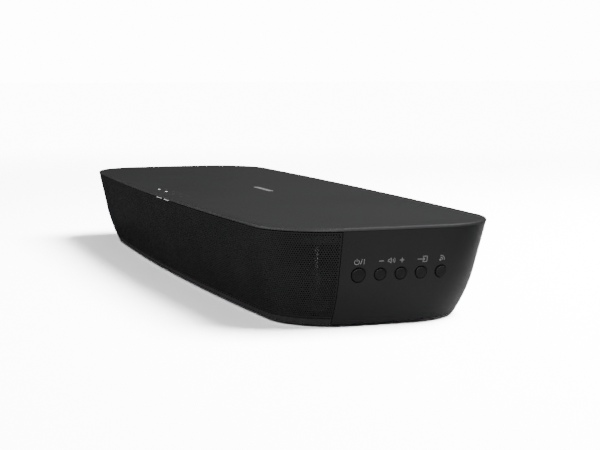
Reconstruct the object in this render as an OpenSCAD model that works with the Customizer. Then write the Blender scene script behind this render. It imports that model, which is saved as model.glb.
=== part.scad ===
/* [Body] */
// Overall width of the top cover, end to end
body_w = 450; // [400:1:600]
// Overall depth of the top cover, front to rear
body_d = 136; // [130:1:180]
// Overall height, from the feet to the top
body_h = 52; // [50:1:70]
// Thickness of the cabinet's moulded wall
wall_t = 2.5; // [2:0.1:3.2]
// Thickness of the perforated grille sheet
grille_t = 0.8; // [0.5:0.1:1.2]
// Where the grille ends and the cabinet starts, forward of the centre
seam_y = 27.5; // [22:0.5:34]
// Gap between neighbouring outer shells
shell_gap = 0.4; // [0.2:0.1:0.8]

/* [Top cover] */
// Height of the top cover's edge
top_t = 2; // [1.6:0.1:3]
// Rounding of the top cover's upper edge
edge_r = 1.2; // [0.6:0.1:1.5]
// Width of the locating rib under the top cover
rib_t = 1.6; // [1.2:0.1:2.4]
// Depth of the locating rib
rib_h = 3; // [2:0.5:5]

/* [Outline seen from above] */
// Corner radius at the front
front_corner_r = 33; // [24:0.5:40]
// Corner radius at the rear
rear_corner_r = 36; // [24:1:40]
// How far the front bulges at its middle
front_bow = 7.5; // [2:0.5:10]
// How far the rear bulges at its middle
rear_bow = 5; // [1:0.5:8]
// How far each end bulges at its middle
end_bow = 2; // [0.5:0.5:4]

/* [Taper of the sides] */
// How far the top cover overhangs the sides
lip = 0.2; // [0.1:0.1:2]
// Slope of the front and rear, in mm inwards for each mm down
side_slope = 0.18; // [0.08:0.01:0.22]
// Height above the walls' foot where the sides start to curl under
roll_h = 21; // [16:1:26]
// Radius of the curl
roll_r = 98; // [80:1:140]
// How much more the two ends taper than the front and rear
end_ratio = 1.33; // [1:0.01:1.5]
// How fast a corner gets tighter as the sides go in
corner_shrink = 0.25; // [0:0.05:0.6]

/* [Bottom cover and feet] */
// Thickness of the bottom cover
floor_t = 3.5; // [3:0.1:4.5]
// Gap between the bottom cover and the table
foot_gap = 1; // [0.6:0.1:2]
// Height of the cabinet shell's lower edge above the bottom cover's underside
shell_lift = 0.5; // [0.3:0.1:1.2]
// Length of a rubber foot
foot_l = 34; // [20:1:44]
// Width of a rubber foot
foot_w = 9; // [6:0.5:12]
// Depth of the pocket that a foot is glued into
foot_pocket = 1; // [0.6:0.1:1.4]
// Distance of a foot's middle from the bottom cover's end
foot_end = 48; // [40:1:60]
// Distance of a foot's middle from the front or rear
foot_side = 26; // [22:1:34]

/* [Buttons] */
// Bore for the power button
power_hole_d = 7.6; // [6:0.1:9]
// Bore for each of the four other buttons
small_hole_d = 6.4; // [5:0.1:7.4]
// Radial clearance round a button cap
button_gap = 0.35; // [0.25:0.05:0.5]
// Distance between the small buttons' axes
button_pitch = 11; // [10:0.1:13]
// Distance from the power button's axis to the first small button's
power_pitch = 11.6; // [10.5:0.1:14]
// Place of the rearmost button's axis, behind the centre
button_last_y = 26.9; // [22:0.1:27.5]
// Height of the buttons' axes above the table
button_z = 27.4; // [22:0.1:32]
// How far a button's face stands out of the wall
button_proud = 0.35; // [0.1:0.05:0.8]
// Travel of a button
button_travel = 0.6; // [0.3:0.05:1]
// How far a button's retaining flange is wider than its bore, each side
flange_over = 1; // [0.6:0.1:1.4]
// Thickness of the retaining flange
flange_t = 1.2; // [0.8:0.1:1.6]
// Side of a tact switch's square body
switch_w = 6; // [5:0.5:6.5]
// Height of a tact switch's body
switch_h = 3.5; // [3:0.1:5]
// Diameter of a switch plunger
plunger_d = 3.4; // [2.5:0.1:3.8]

/* [Indicators and badge] */
// Distance between the indicator lights
led_pitch = 18; // [12:1:24]
// Distance of the indicator lights from the front
led_setback = 9; // [9:0.5:12]
// Place of the row of lights' middle, right of the centre
led_x = 7; // [-12:1:12]
// Diameter of an indicator's light pipe
led_d = 1.8; // [1.2:0.1:3]
// Length of the plain badge
badge_l = 33; // [16:1:40]
// Width of the plain badge
badge_w = 3.4; // [2:0.1:6]
// Thickness of the badge that stands out of the top
badge_t = 0.3; // [0.2:0.05:0.3]

/* [Speakers] */
// Distance of a driver's axis from the middle
driver_x = 117; // [112:1:125]
// Length of a driver's flange
driver_l = 100; // [90:1:104]
// Height of a driver's flange
driver_h = 42; // [38:0.5:42]
// Distance of the baffle's front face behind the foot of the front
baffle_back = 11; // [10.5:0.1:13]
// Thickness of the baffle
baffle_t = 3; // [2.5:0.1:4]
// How far a cone moves each way
cone_travel = 2; // [1:0.1:2]
// Width of a speaker box
box_w = 138; // [136:1:144]
// Room between a speaker box's back and the main board
box_clear = 5; // [4:0.5:10]
// Distance of a speaker box's inner side from the middle
box_inner_x = 32; // [30:1:34]
// Thickness of a speaker box's wall
box_wall = 2; // [1.6:0.1:3]
// Distance of a port's axis from the middle
port_x = 46; // [44:1:48]
// Bore of a port
port_bore = 15; // [12:0.5:16]
// Length of a port
port_l = 40; // [30:1:46]
// Flare at a port's mouth
port_flare = 2.5; // [1:0.5:2.8]

/* [Rear terminals] */
// Width of the terminal bay
bay_w = 146; // [140:1:156]
// Height of the terminal bay
bay_h = 28; // [24:1:30]
// Height of the terminal bay's lower side above the table
bay_z = 9.5; // [9:0.5:12]
// Distance of the terminal panel's outer face forward of the rear wall's foot
panel_fore = 5.2; // [5:0.1:8]
// Thickness of the terminal panel
panel_t = 2; // [1.6:0.1:2.4]
// Distance of a wall hanger from the middle
hanger_x = 150; // [140:1:160]
// Round entry of a hanger's keyhole
keyhole_d = 10; // [8:0.5:12]
// Width of the keyhole's slot
keyhole_slot = 5; // [4:0.5:6]
// Length of the keyhole's slot above the round entry's axis
keyhole_rise = 9; // [8:0.5:11]
// Thickness of a hanger plate
hanger_t = 1.5; // [1:0.1:2]

/* [Electronics] */
// Thickness of every circuit board
board_t = 1.6; // [1:0.1:2]
// Height of a circuit board above the bottom cover
board_lift = 6; // [5:0.5:7]
// Width of the main board
main_w = 128; // [120:1:136]
// Depth of the boards behind the speaker boxes
board_d = 35; // [32:1:36]
// Width of the power board
power_w = 92; // [80:1:96]
// Play round a part that fits in another
fit_gap = 0.3; // [0.2:0.05:0.4]

/* [Fasteners] */
// Shank of a case screw
screw_d = 3; // [2.5:0.1:4]
// Head of a case screw
screw_head_d = 5.6; // [5:0.1:7]
// Height of a case screw's head
screw_head_h = 2; // [1.5:0.1:3]
// Radial room round a screw's shank
screw_play = 0.05; // [0.05:0.01:0.2]
// Distance of the corner screws from the foot of the end walls
screw_end = 22.8; // [20:0.1:30]
// Distance of the rear corner screws from the foot of the rear wall
screw_side = 17.3; // [15:0.1:22]

/* [Hidden] */
$fn = 48;

// ---- the tapered body, as formulas ----
corner_steps = 8;
side_steps = 6;
end_steps = 3;
level_steps = 8;
floor_z = foot_gap + floor_t;
under_z = body_h - top_t;
wall_h = under_z - floor_z;
half_w = body_w / 2;
half_d = body_d / 2;

function roll(depth) = roll_r - sqrt(roll_r * roll_r - pow(max(0, depth - wall_h + roll_h), 2));
function inset(depth) = lip + side_slope * depth + roll(depth);
shell_foot = floor_t - shell_lift;
foot_in = inset(wall_h + shell_foot);
panel_y = half_d - inset(wall_h) - panel_fore;

// A radius of the outline at a given inset; t is a wall that has been taken off it.
function corner_r(r, in, t) = max(4, r - corner_shrink * in - t);
function arc(cx, cy, r, from, to) =
    [for (k = [0 : corner_steps]) let (a = from + (to - from) * k / corner_steps) [cx + r * cos(a), cy + r * sin(a)]];
function bowed(p, a, b, y_bow, seam) =
    let (side = max(0, (abs(p[1]) - seam) / (b - seam)))
    [p[0] + sign(p[0]) * end_bow * (1 - pow(p[1] / b, 2)) * pow(abs(p[0]) / a, 4),
     p[1] + sign(p[1]) * y_bow * (1 - pow(p[0] / a, 2)) * side];
// Right half of the front stretch, from the seam to the middle.
function front_half(in, t, seam) =
    let (a = half_w - in * end_ratio - t - end_bow, b = half_d - in - t - front_bow,
         r = corner_r(front_corner_r, in, t), cx = a - r, cy = -(b - r),
         start = -asin(min(1, max(0, (seam + cy) / r))), first = start < 0 ? [] : [[a, -seam]],
         turn = arc(cx, cy, r, start, -90),
         raw = concat(first, [for (k = [len(first) : corner_steps]) turn[k]],
                      [for (k = [1 : side_steps]) [cx * (1 - k / side_steps), -b]]))
    [for (p = raw) bowed(p, a, b, front_bow, seam)];
// Right half of the rear stretch, from the seam round the end to the middle.
function rear_half(in, t, seam) =
    let (a = half_w - in * end_ratio - t - end_bow, b = half_d - in - t - rear_bow,
         r = corner_r(rear_corner_r, in, t), cx = a - r, cy = b - r,
         bf = half_d - in - t - front_bow, rf = corner_r(front_corner_r, in, t), cyf = -(bf - rf),
         start = -asin(min(1, max(0, (seam + cyf) / rf))),
         front_arc = [for (k = [0 : 2]) let (w = start * (1 - k / 2)) [a - rf + rf * cos(w), cyf + rf * sin(w)]],
         straight_y = start < 0 ? cyf : -seam,
         raw = concat(start < 0 ? front_arc : [for (k = [0 : 2]) [a, -seam + k * 0.5]],
                      [for (k = [1 : end_steps]) [a, straight_y + 1 + (cy - straight_y - 1) * k / end_steps]],
                      [for (k = [1 : corner_steps]) let (w = 90 * k / corner_steps) [cx + r * cos(w), cy + r * sin(w)]],
                      [for (k = [1 : side_steps]) [cx * (1 - k / side_steps), b]]))
    [for (p = raw) bowed(p, a, b, rear_bow, seam)];
function mirrored(path) = [for (k = [len(path) - 2 : -1 : 0]) [-path[k][0], path[k][1]]];
function whole(half) = concat(half, mirrored(half));
function backwards(path) = [for (k = [len(path) - 1 : -1 : 0]) path[k]];
// Closed outline at a given inset, going round from the left seam by the front.
function ring(in, t = 0) =
    let (front = backwards(whole(front_half(in, t, seam_y))), rear = whole(rear_half(in, t, seam_y)))
    concat(front, [for (k = [1 : len(rear) - 2]) rear[k]]);
function at_z(path, z) = [for (p = path) [p[0], p[1], z]];
// Depths of the levels, closest together where the sides curl.
levels = [for (k = [0 : level_steps]) sin(90 * k / level_steps) * wall_h];
// Outer faces of the body at a place: the rear wall's y, the front's y and an end wall's x.
function rear_y(x, z) =
    let (in = inset(under_z - z), a = half_w - in * end_ratio - end_bow)
    half_d - in - rear_bow * pow(x / a, 2);
function front_y(x, z) =
    let (in = inset(under_z - z), a = half_w - in * end_ratio - end_bow)
    -(half_d - in - front_bow * pow(x / a, 2));
function end_x(z) = half_w - inset(under_z - z) * end_ratio;

// Joins rows of points, all of one length, into a closed solid. Rows that are whole outlines are
// closed round, and the first and last rows are capped or joined to each other.
module skin(rows, round = true, join = false) {
    n = len(rows[0]);
    m = len(rows);
    cols = round ? n : n - 1;
    bands = join ? m : m - 1;
    points = [for (row = rows) each row];
    sides = [for (j = [0 : bands - 1], i = [0 : cols - 1])
        let (a = j * n + i, b = j * n + (i + 1) % n, c = ((j + 1) % m) * n + (i + 1) % n, d = ((j + 1) % m) * n + i)
        each [[a, b, c], [a, c, d]]];
    caps = join ? [] : [[for (i = [n - 1 : -1 : 0]) i], [for (i = [0 : n - 1]) (m - 1) * n + i]];
    ends = round ? [] : [for (e = [0, n - 1]) [for (j = [0 : m - 1]) (e == 0 ? j : m - 1 - j) * n + e]];
    polyhedron(points = points, faces = [for (f = concat(sides, caps, ends)) backwards(f)]);
}
// A wall that follows an open stretch of the outline over a span of depths.
module tapered_wall(stretch, t, top_gap, foot) {
    span = [for (k = [0 : level_steps]) top_gap + (wall_h - foot - top_gap) * levels[k] / wall_h];
    outer = [for (d = span) at_z(stretch == "front"
        ? whole(front_half(inset(d), 0, seam_y + shell_gap)) : whole(rear_half(inset(d), 0, seam_y)), under_z - d)];
    inner = [for (d = span) at_z(stretch == "front"
        ? whole(front_half(inset(d), t, seam_y + shell_gap)) : whole(rear_half(inset(d), t, seam_y)), under_z - d)];
    wall_faces(outer, inner);
}
// Outer and inner sheets of the same grid, closed along their four edges.
module wall_faces(outer, inner) {
    n = len(outer[0]);
    m = len(outer);
    points = concat([for (row = outer) each row], [for (row = inner) each row]);
    half = n * m;
    sheet = [for (j = [0 : m - 2], i = [0 : n - 2])
        let (a = j * n + i, b = a + 1, c = a + n + 1, d = a + n)
        each [[a, b, c], [a, c, d], [half + a, half + c, half + b], [half + a, half + d, half + c]]];
    rims = [for (i = [0 : n - 2]) let (a = i, b = (m - 1) * n + i)
        each [[a, half + a, half + a + 1], [a, half + a + 1, a + 1],
              [b, b + 1, half + b + 1], [b, half + b + 1, half + b]]];
    sides = [for (j = [0 : m - 2]) let (a = j * n, b = j * n + n - 1)
        each [[a, a + n, half + a + n], [a, half + a + n, half + a],
              [b, half + b, half + b + n], [b, half + b + n, b + n]]];
    faces = concat(sheet, rims, sides);
    polyhedron(points = points, faces = stretch_turns(outer) ? faces : [for (f = faces) backwards(f)]);
}
// Which way round a grid's first row runs decides which way its faces look.
function stretch_turns(outer) = outer[0][0][1] < outer[0][floor(len(outer[0]) / 2)][1];

module rounded_bar(l, w, h) {
    linear_extrude(h) polygon(stadium(l, w));
}
function stadium(l, w, n = 12) =
    concat([for (k = [0 : n]) let (a = -90 + 180 * k / n) [(l - w) / 2 + w / 2 * cos(a), w / 2 * sin(a)]],
           [for (k = [0 : n]) let (a = 90 + 180 * k / n) [-(l - w) / 2 + w / 2 * cos(a), w / 2 * sin(a)]]);
function rounded_rect(l, w, r, n = 6) =
    [for (c = [[1, -1, -90], [1, 1, 0], [-1, 1, 90], [-1, -1, 180]], k = [0 : n])
        let (a = c[2] + 90 * k / n) [c[0] * (l / 2 - r) + r * cos(a), c[1] * (w / 2 - r) + r * sin(a)]];
module along_x(x, l) {
    translate([x, 0, 0]) rotate([90, 0, 90]) linear_extrude(l) children();
}
module pan_screw(d, l, head_d, head_h) {
    // The head's seat is at z = 0, the shank points up and the head hangs below.
    cylinder(d = d, h = l);
    translate([0, 0, -head_h]) difference() {
        cylinder(d = head_d, h = head_h);
        for (a = [0, 90]) rotate(a) translate([-head_d * 0.3, -head_d * 0.06, -1])
            cube([head_d * 0.6, head_d * 0.12, 1 + head_h * 0.5]);
    }
}

// ---- case screws run up through the bottom cover's posts into the top cover's bosses ----
post_d = 9;
boss_d = 8;
split_z = floor_z + 23;
screw_grip = 14;
head_seat_z = floor_z + 5;
screw_places = concat(
    [for (sx = [-1, 1], y = [-28, half_d - inset(wall_h) - screw_side])
        [sx * (half_w - inset(wall_h) * end_ratio - screw_end), y]],
    [[0, -30], [0, 3]]);

module top_cover() {
    color("#3d3d3f") difference() {
        union() {
            edge = 0.35;
            skin([at_z(ring(edge), under_z),
                  at_z(ring(0), under_z + edge),
                  at_z(ring(0), body_h - edge_r),
                  for (a = [30 : 30 : 90]) at_z(ring(edge_r * (1 - cos(a))), body_h - edge_r * (1 - sin(a)))]);
            top_cover_rib();
            for (p = screw_places) translate([p[0], p[1], split_z + fit_gap])
                cylinder(d = boss_d, h = under_z - split_z);
            for (sx = [-1, 1]) translate([led_x + sx * led_board_screw_x, led_board_y, led_board_z + board_t])
                cylinder(d = 5, h = under_z - led_board_z - board_t + 0.5);
        }
        for (p = screw_places) translate([p[0], p[1], split_z - 1])
            cylinder(d = screw_d + 2 * screw_play, h = screw_grip + 3);
        for (x = led_places) translate([x, led_y, under_z - 1])
            cylinder(d = led_d + 2 * screw_play, h = top_t + 2);
        for (sx = [-1, 1]) translate([led_x + sx * led_board_screw_x, led_board_y, led_board_z])
            cylinder(d = 2 + 2 * screw_play, h = board_t + 4.5);
        translate([badge_x, badge_y, body_h - 0.5]) rounded_bar(badge_l + 0.2, badge_w + 0.2, 1);
    }
}
// A low rib that keeps the top cover in place inside the cabinet wall.
module top_cover_rib() {
    outer = inset(rib_h) + wall_t + fit_gap;
    stretch = whole(rear_half(outer, 0, seam_y - 4));
    inner = whole(rear_half(outer, rib_t, seam_y - 4));
    translate([0, 0, under_z - rib_h]) linear_extrude(rib_h + 0.3) polygon(concat(stretch, backwards(inner)));
}

module front_grille() {
    color("#1c1c1e") tapered_wall("front", grille_t, shell_gap, shell_gap);
}

// The rear and both ends in one moulding.
module cabinet_shell() {
    color("#2b2b2d") difference() {
        union() {
            tapered_wall("rear", wall_t, 0.05, -shell_foot);
            for (sx = [-1, 1]) hanger_pocket(sx);
        }
        button_bores();
        along_x(-bay_w / 2 - fit_gap, bay_w + 2 * fit_gap)
            translate([half_d - 30, bay_z - fit_gap]) square([40, bay_h + 2 * fit_gap]);
        for (sx = [-1, 1]) along_x(sx * hanger_x - pocket_w / 2, pocket_w)
            translate([hanger_y - 2, pocket_z]) square([30, pocket_h]);
        for (p = hanger_screws) translate([p[0], hanger_y, p[1]]) rotate([-90, 0, 0])
            cylinder(d = 2 + 2 * screw_play, h = 6, center = true);
    }
}
module button_bores() {
    for (b = buttons) translate([end_x(button_z) - 12, b[1], button_z]) rotate([0, 90, 0])
        cylinder(d = b[2], h = 24);
}

// ---- wall hangers ----
pocket_w = 24;
pocket_h = 26;
pocket_z = 14.5;
pocket_wall = 4;
hanger_y = panel_y + 0.5;
hanger_screws = [for (sx = [-1, 1], dx = [-1, 1]) [sx * hanger_x + dx * (pocket_w / 2 + pocket_wall / 2), pocket_z + pocket_h / 2]];
// A box round each keyhole, from the wall's middle in to the plate.
module hanger_pocket(sx) {
    zs = [for (k = [0 : 4]) pocket_z - 2 + (pocket_h + 4) * k / 4];
    far_x = hanger_x + pocket_w / 2 + pocket_wall;
    along_x(sx * hanger_x - pocket_w / 2 - pocket_wall, pocket_w + 2 * pocket_wall)
        polygon(concat([[hanger_y, zs[4]], [hanger_y, zs[0]]],
                       [for (z = zs) [rear_y(far_x, z) - wall_t * 0.5, z]]));
}
module wall_hangers() {
    color("#8f9296") for (sx = [-1, 1]) translate([sx * hanger_x, hanger_y, pocket_z + pocket_h / 2])
        rotate([90, 0, 0]) difference() {
            linear_extrude(hanger_t) polygon(rounded_rect(pocket_w + 2 * pocket_wall, pocket_h + 3, 2));
            translate([0, -4, -1]) cylinder(d = keyhole_d, h = hanger_t + 2);
            translate([0, -4 + keyhole_rise, -1]) cylinder(d = keyhole_slot, h = hanger_t + 2);
            translate([-keyhole_slot / 2, -4, -1]) cube([keyhole_slot, keyhole_rise, hanger_t + 2]);
            for (dx = [-1, 1]) translate([dx * (pocket_w + pocket_wall) / 2, 0, -1])
                cylinder(d = 2 + 2 * screw_play, h = hanger_t + 2);
        }
}

// The bottom cover's outline at a height: it carries on the front's curve, and its rear part lies
// inside the cabinet shell's wall.
function cover_ring(z) =
    let (front = backwards(whole(front_half(inset(under_z - z), 0, seam_y + shell_gap))),
         rear = whole(rear_half(foot_in, wall_t + fit_gap, seam_y + shell_gap * 0.8)))
    concat(front, rear);
module bottom_cover() {
    color("#242426") difference() {
        union() {
            skin([for (z = [foot_gap, foot_gap + floor_t / 2, floor_z]) at_z(cover_ring(z), z)]);
            translate([0, 0, floor_z - 0.5]) linear_extrude(4) polygon(concat(
                whole(rear_half(foot_in, wall_t + fit_gap, seam_y - 4)),
                backwards(whole(rear_half(foot_in, wall_t + fit_gap + 1.6, seam_y - 4)))));
            for (p = screw_places) translate([p[0], p[1], floor_z - 0.5]) cylinder(d = post_d, h = split_z - floor_z + 0.5);
            for (p = standoffs) translate([p[0], p[1], floor_z - 0.5]) cylinder(d = 5, h = board_lift + 0.5);
            for (sy = [-1, 1]) translate([button_board_x - board_t - 2, button_board_y + sy * 15 - 3, floor_z - 0.5])
                cube([board_t + 2.9, 6, 8]);
        }
        translate([button_board_x - board_t - 0.1, -body_d / 2, button_board_z - 0.1])
            cube([board_t + 0.2, body_d, body_h]);
        for (p = screw_places) translate([p[0], p[1], 0]) {
            cylinder(d = screw_head_d + 0.6, h = head_seat_z);
            cylinder(d = screw_d + 0.4, h = split_z + 1);
        }
        for (p = standoffs) translate([p[0], p[1], floor_z]) cylinder(d = 2 + 2 * screw_play, h = board_lift + 1);
        for (p = foot_places) translate([p[0], p[1], foot_gap - 1]) rounded_bar(foot_l + 0.4, foot_w + 0.4, 1 + foot_pocket);
        for (g = vent_groups, k = [0 : 9]) translate([g[0] + (k - 4.5) * 6, g[1], 0]) rotate(90)
            rounded_bar(18, 2.4, floor_z + 1);
    }
}
foot_places = [for (sx = [-1, 1], sy = [-1, 1])
    [sx * (half_w - foot_in * end_ratio - foot_end), sy * (half_d - foot_in - foot_side)]];

module rubber_feet() {
    color("#141414") for (p = foot_places) translate([p[0], p[1], 0]) rounded_bar(foot_l, foot_w, foot_gap + foot_pocket);
}

// ---- terminal bay ----
bay_wall = 1.8;
// Side view of the bay's outer shape, ending just inside the cabinet's face.
function bay_side(shift, y0) =
    let (zs = [for (k = [0 : 4]) bay_z + shift + (bay_h - 2 * shift) * k / 4])
    concat([[y0, zs[4]], [y0, zs[0]]], [for (z = zs) [rear_y(bay_w / 2, z) - shell_gap + (shift > 0 ? 6 : 0), z]]);
module terminal_panel() {
    color("#1d1d1f") difference() {
        along_x(-bay_w / 2, bay_w) polygon(bay_side(0, panel_y - panel_t));
        along_x(-bay_w / 2 + bay_wall, bay_w - 2 * bay_wall) polygon(bay_side(bay_wall, panel_y));
        socket_cut(hdmi_x, hdmi_w, hdmi_h, board_top);
        socket_cut(usb_x, usb_w, usb_h, board_top);
        socket_cut(optical_x, optical_w, optical_h, board_top);
        socket_cut(inlet_x, inlet_w, inlet_h, inlet_z - inlet_h / 2);
    }
}
module socket_cut(x, w, h, z) {
    translate([x - w / 2 - fit_gap, panel_y - panel_t - 1, z - fit_gap])
        cube([w + 2 * fit_gap, panel_t + 2, h + 2 * fit_gap]);
}

// ---- circuit boards ----
board_z = floor_z + board_lift;
board_top = board_z + board_t;
board_y = panel_y - panel_t - 0.5 - board_d / 2;
main_x = -9;
power_x = main_x + main_w / 2 + 8 + power_w / 2;
standoffs = [for (b = [[main_x, main_w], [power_x, power_w]], sx = [-1, 1], sy = [-1, 1])
    [b[0] + sx * (b[1] / 2 - 4), board_y + sy * (board_d / 2 - 4)]];
vent_groups = [[power_x, board_y], [-38, board_y - 1]];
module board(x, w) {
    difference() {
        translate([x - w / 2, board_y - board_d / 2, board_z]) cube([w, board_d, board_t]);
        for (sx = [-1, 1], sy = [-1, 1])
            translate([x + sx * (w / 2 - 4), board_y + sy * (board_d / 2 - 4), board_z - 1])
                cylinder(d = 2.4, h = board_t + 2);
    }
}
module main_board() {
    color("#1d5a38") board(main_x, main_w);
}
module power_board() {
    color("#8a6a35") board(power_x, power_w);
}

// ---- sockets stand on the main board and show through the terminal panel ----
hdmi_x = -12;
hdmi_w = 15;
hdmi_h = 6;
usb_x = 14;
usb_w = 14.5;
usb_h = 7;
optical_x = -44;
optical_w = 12;
optical_h = 12;
socket_d = 13;
inlet_x = 53;
inlet_w = 21;
inlet_h = 14;
inlet_d = 18;
inlet_z = 25;
module socket_shell(x, w, h, wall, depth) {
    translate([x, panel_y, board_top]) difference() {
        translate([-w / 2, -socket_d, 0]) cube([w, socket_d, h]);
        translate([-w / 2 + wall, -depth, wall]) cube([w - 2 * wall, depth + 1, h - 2 * wall]);
    }
}
module hdmi_socket() {
    color("#b9bcc0") difference() {
        union() {
            socket_shell(hdmi_x, hdmi_w, hdmi_h, 0.5, 11);
            translate([hdmi_x - 5.5, panel_y - 11.5, board_top + hdmi_h / 2 - 0.2]) cube([11, 9.5, 1.2]);
        }
        for (sx = [-1, 1]) translate([hdmi_x + sx * hdmi_w / 2, panel_y - socket_d - 1, board_top]) rotate([0, 45, 0])
            cube([2.4, 2 * socket_d + 4, 2.4], center = true);
    }
}
module usb_socket() {
    color("#c4c6ca") union() {
        socket_shell(usb_x, usb_w, usb_h, 0.6, 11.5);
        translate([usb_x - 5.5, panel_y - 12, board_top + usb_h - 3.4]) cube([11, 10, 1.8]);
    }
}
optical_wall = 1.3;
shutter_t = 0.8;
shutter_axis_z = board_top + optical_h - optical_wall - 0.9;
shutter_axis_y = panel_y - 1.4;
module optical_socket() {
    color("#202022") difference() {
        socket_shell(optical_x, optical_w, optical_h, optical_wall, 10.5);
        translate([optical_x - optical_w / 2 + 0.4, shutter_axis_y, shutter_axis_z]) rotate([0, 90, 0])
            cylinder(d = 1.1, h = optical_w - 0.8);
    }
}
// The sprung flap that keeps dust out of the optical socket.
module optical_shutter() {
    w = optical_w - 2 * optical_wall - 0.4;
    color("#3a3a3c") union() {
        translate([optical_x - w / 2, shutter_axis_y - shutter_t / 2, board_top + optical_wall + 0.25])
            cube([w, shutter_t, shutter_axis_z - board_top - optical_wall - 0.25]);
        translate([optical_x - optical_w / 2 + 0.6, shutter_axis_y, shutter_axis_z]) rotate([0, 90, 0])
            cylinder(d = 1, h = optical_w - 1.2);
    }
}
module ac_inlet() {
    color("#18181a") translate([inlet_x, panel_y, inlet_z]) rotate([90, 0, 0]) difference() {
        translate([-inlet_w / 2, -inlet_h / 2, 0]) cube([inlet_w, inlet_h, inlet_d]);
        translate([0, 0, -1]) rounded_bar(17, 9.4, 13);
        for (sx = [-1, 1]) translate([sx * pin_x, 0, 0]) cylinder(d = pin_d + 2 * screw_play, h = inlet_d + 1);
    }
}
pin_d = 2.4;
pin_x = 4.3;
module inlet_pins() {
    color("#c9c9c9") for (sx = [-1, 1]) translate([inlet_x + sx * pin_x, panel_y - 2, inlet_z]) rotate([90, 0, 0])
        cylinder(d = pin_d, h = inlet_d + 3);
}
module heat_sink() {
    color("#9a9da1") translate([main_x - 50, board_y - 12, board_top + 1.2]) difference() {
        cube([26, 16, 14]);
        for (k = [0 : 4]) translate([2.6 + k * 4.6, -1, 3]) cube([2.4, 18, 12]);
    }
}
module board_components() {
    color("#2a2a2c") {
        translate([main_x - 46, board_y - 9, board_top]) cube([18, 10, 1.2]);
        for (k = [0 : 3]) translate([main_x - 17 + k * 11, board_y - 6, board_top]) cylinder(d = 8, h = 12);
        for (k = [0 : 1]) translate([main_x + 22 + k * 14, board_y - 3, board_top]) cube([12, 9, 5]);
        for (x = [cable_x, cable_x + 12, main_x - 46, main_x + 46])
            translate([x + 0.35, board_y - board_d / 2 + 0.6, board_top]) cube([4, 4.6, 5]);
    }
}
module wireless_module() {
    color("#b8bcc0") {
        translate([main_x + 38, board_y - 14.5, board_top]) cube([8, 10, 2.6]);
    }
}
cable_x = 12;
module power_components() {
    color("#c8a53a") {
        translate([power_x + 6, board_y - 13, board_top]) cube([26, 24, 20]);
        translate([power_x - 16, board_y - 12, board_top]) cube([14, 18, 16]);
        for (k = [0 : 1]) translate([power_x - 32, board_y - 8 + k * 14, board_top]) cylinder(d = 12, h = 24);
    }
}

// ---- indicator lights and remote sensor, hung under the top cover ----
led_y = -(half_d - led_setback);
led_board_y = led_y + 1.5;
led_board_z = under_z - 6.6;
led_places = [for (k = [-1.5 : 1.5]) led_x + k * led_pitch];
led_board_w = 4 * led_pitch + 2;
led_board_screw_x = 2 * led_pitch - 4;
module indicator_board() {
    color("#1d5a38") difference() {
        union() {
            translate([led_x - led_board_w / 2, led_board_y - 4.5, led_board_z]) cube([led_board_w, 10, board_t]);
            for (x = led_places) translate([x - 1, led_y - 1, led_board_z + board_t]) cube([2, 2, 1]);
        }
        for (sx = [-1, 1]) translate([led_x + sx * led_board_screw_x, led_board_y, led_board_z - 1]) cylinder(d = 2.4, h = board_t + 2);
    }
}
module led_lenses() {
    base = led_board_z + board_t + 1 + fit_gap;
    color("#e8eef2") for (x = led_places) translate([x, led_y, base]) {
        cylinder(d = led_d, h = body_h - base);
        cylinder(d = led_d + 1.6, h = under_z - base - fit_gap);
    }
}
module ir_receiver() {
    color("#27181c") translate([led_x + led_pitch, led_board_y - 4, led_board_z - 7]) union() {
        translate([-3, 0, 0]) cube([6, 3, 7]);
        translate([0, 0, 3.6]) sphere(d = 4);
    }
}
badge_x = -0.5;
badge_y = 4;
module badge() {
    color("#5a5a5e") translate([badge_x, badge_y, body_h - 0.5]) rounded_bar(badge_l, badge_w, 0.5);
}

// ---- speakers ----
baffle_y = -(half_d - inset(wall_h) - baffle_back);
box_d = board_y - board_d / 2 - box_clear - baffle_y - baffle_t;
driver_z = (floor_z + under_z) / 2;
baffle_w = 2 * (box_inner_x + box_w + 6);
box_h = wall_h - 2.5;
basket_l = 90;
basket_h = 34;
basket_d = 13;
plate_t = 1.5;
plate_hole_d = 26;
magnet_d = 34;
magnet_h = 10;
steel_t = 3;
neck_z = -9;
neck_d = 19;
coil_d = 16.4;
pole_d = 15;
gap_d = 17.2;
screw_dx = driver_l / 2 - 4.5;
screw_dy = driver_h / 2 - 4.5;
// Local z points forwards out of the baffle's front face.
module at_driver(side) {
    translate([side * driver_x, baffle_y, driver_z]) rotate([90, 0, 0]) children();
}
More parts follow.
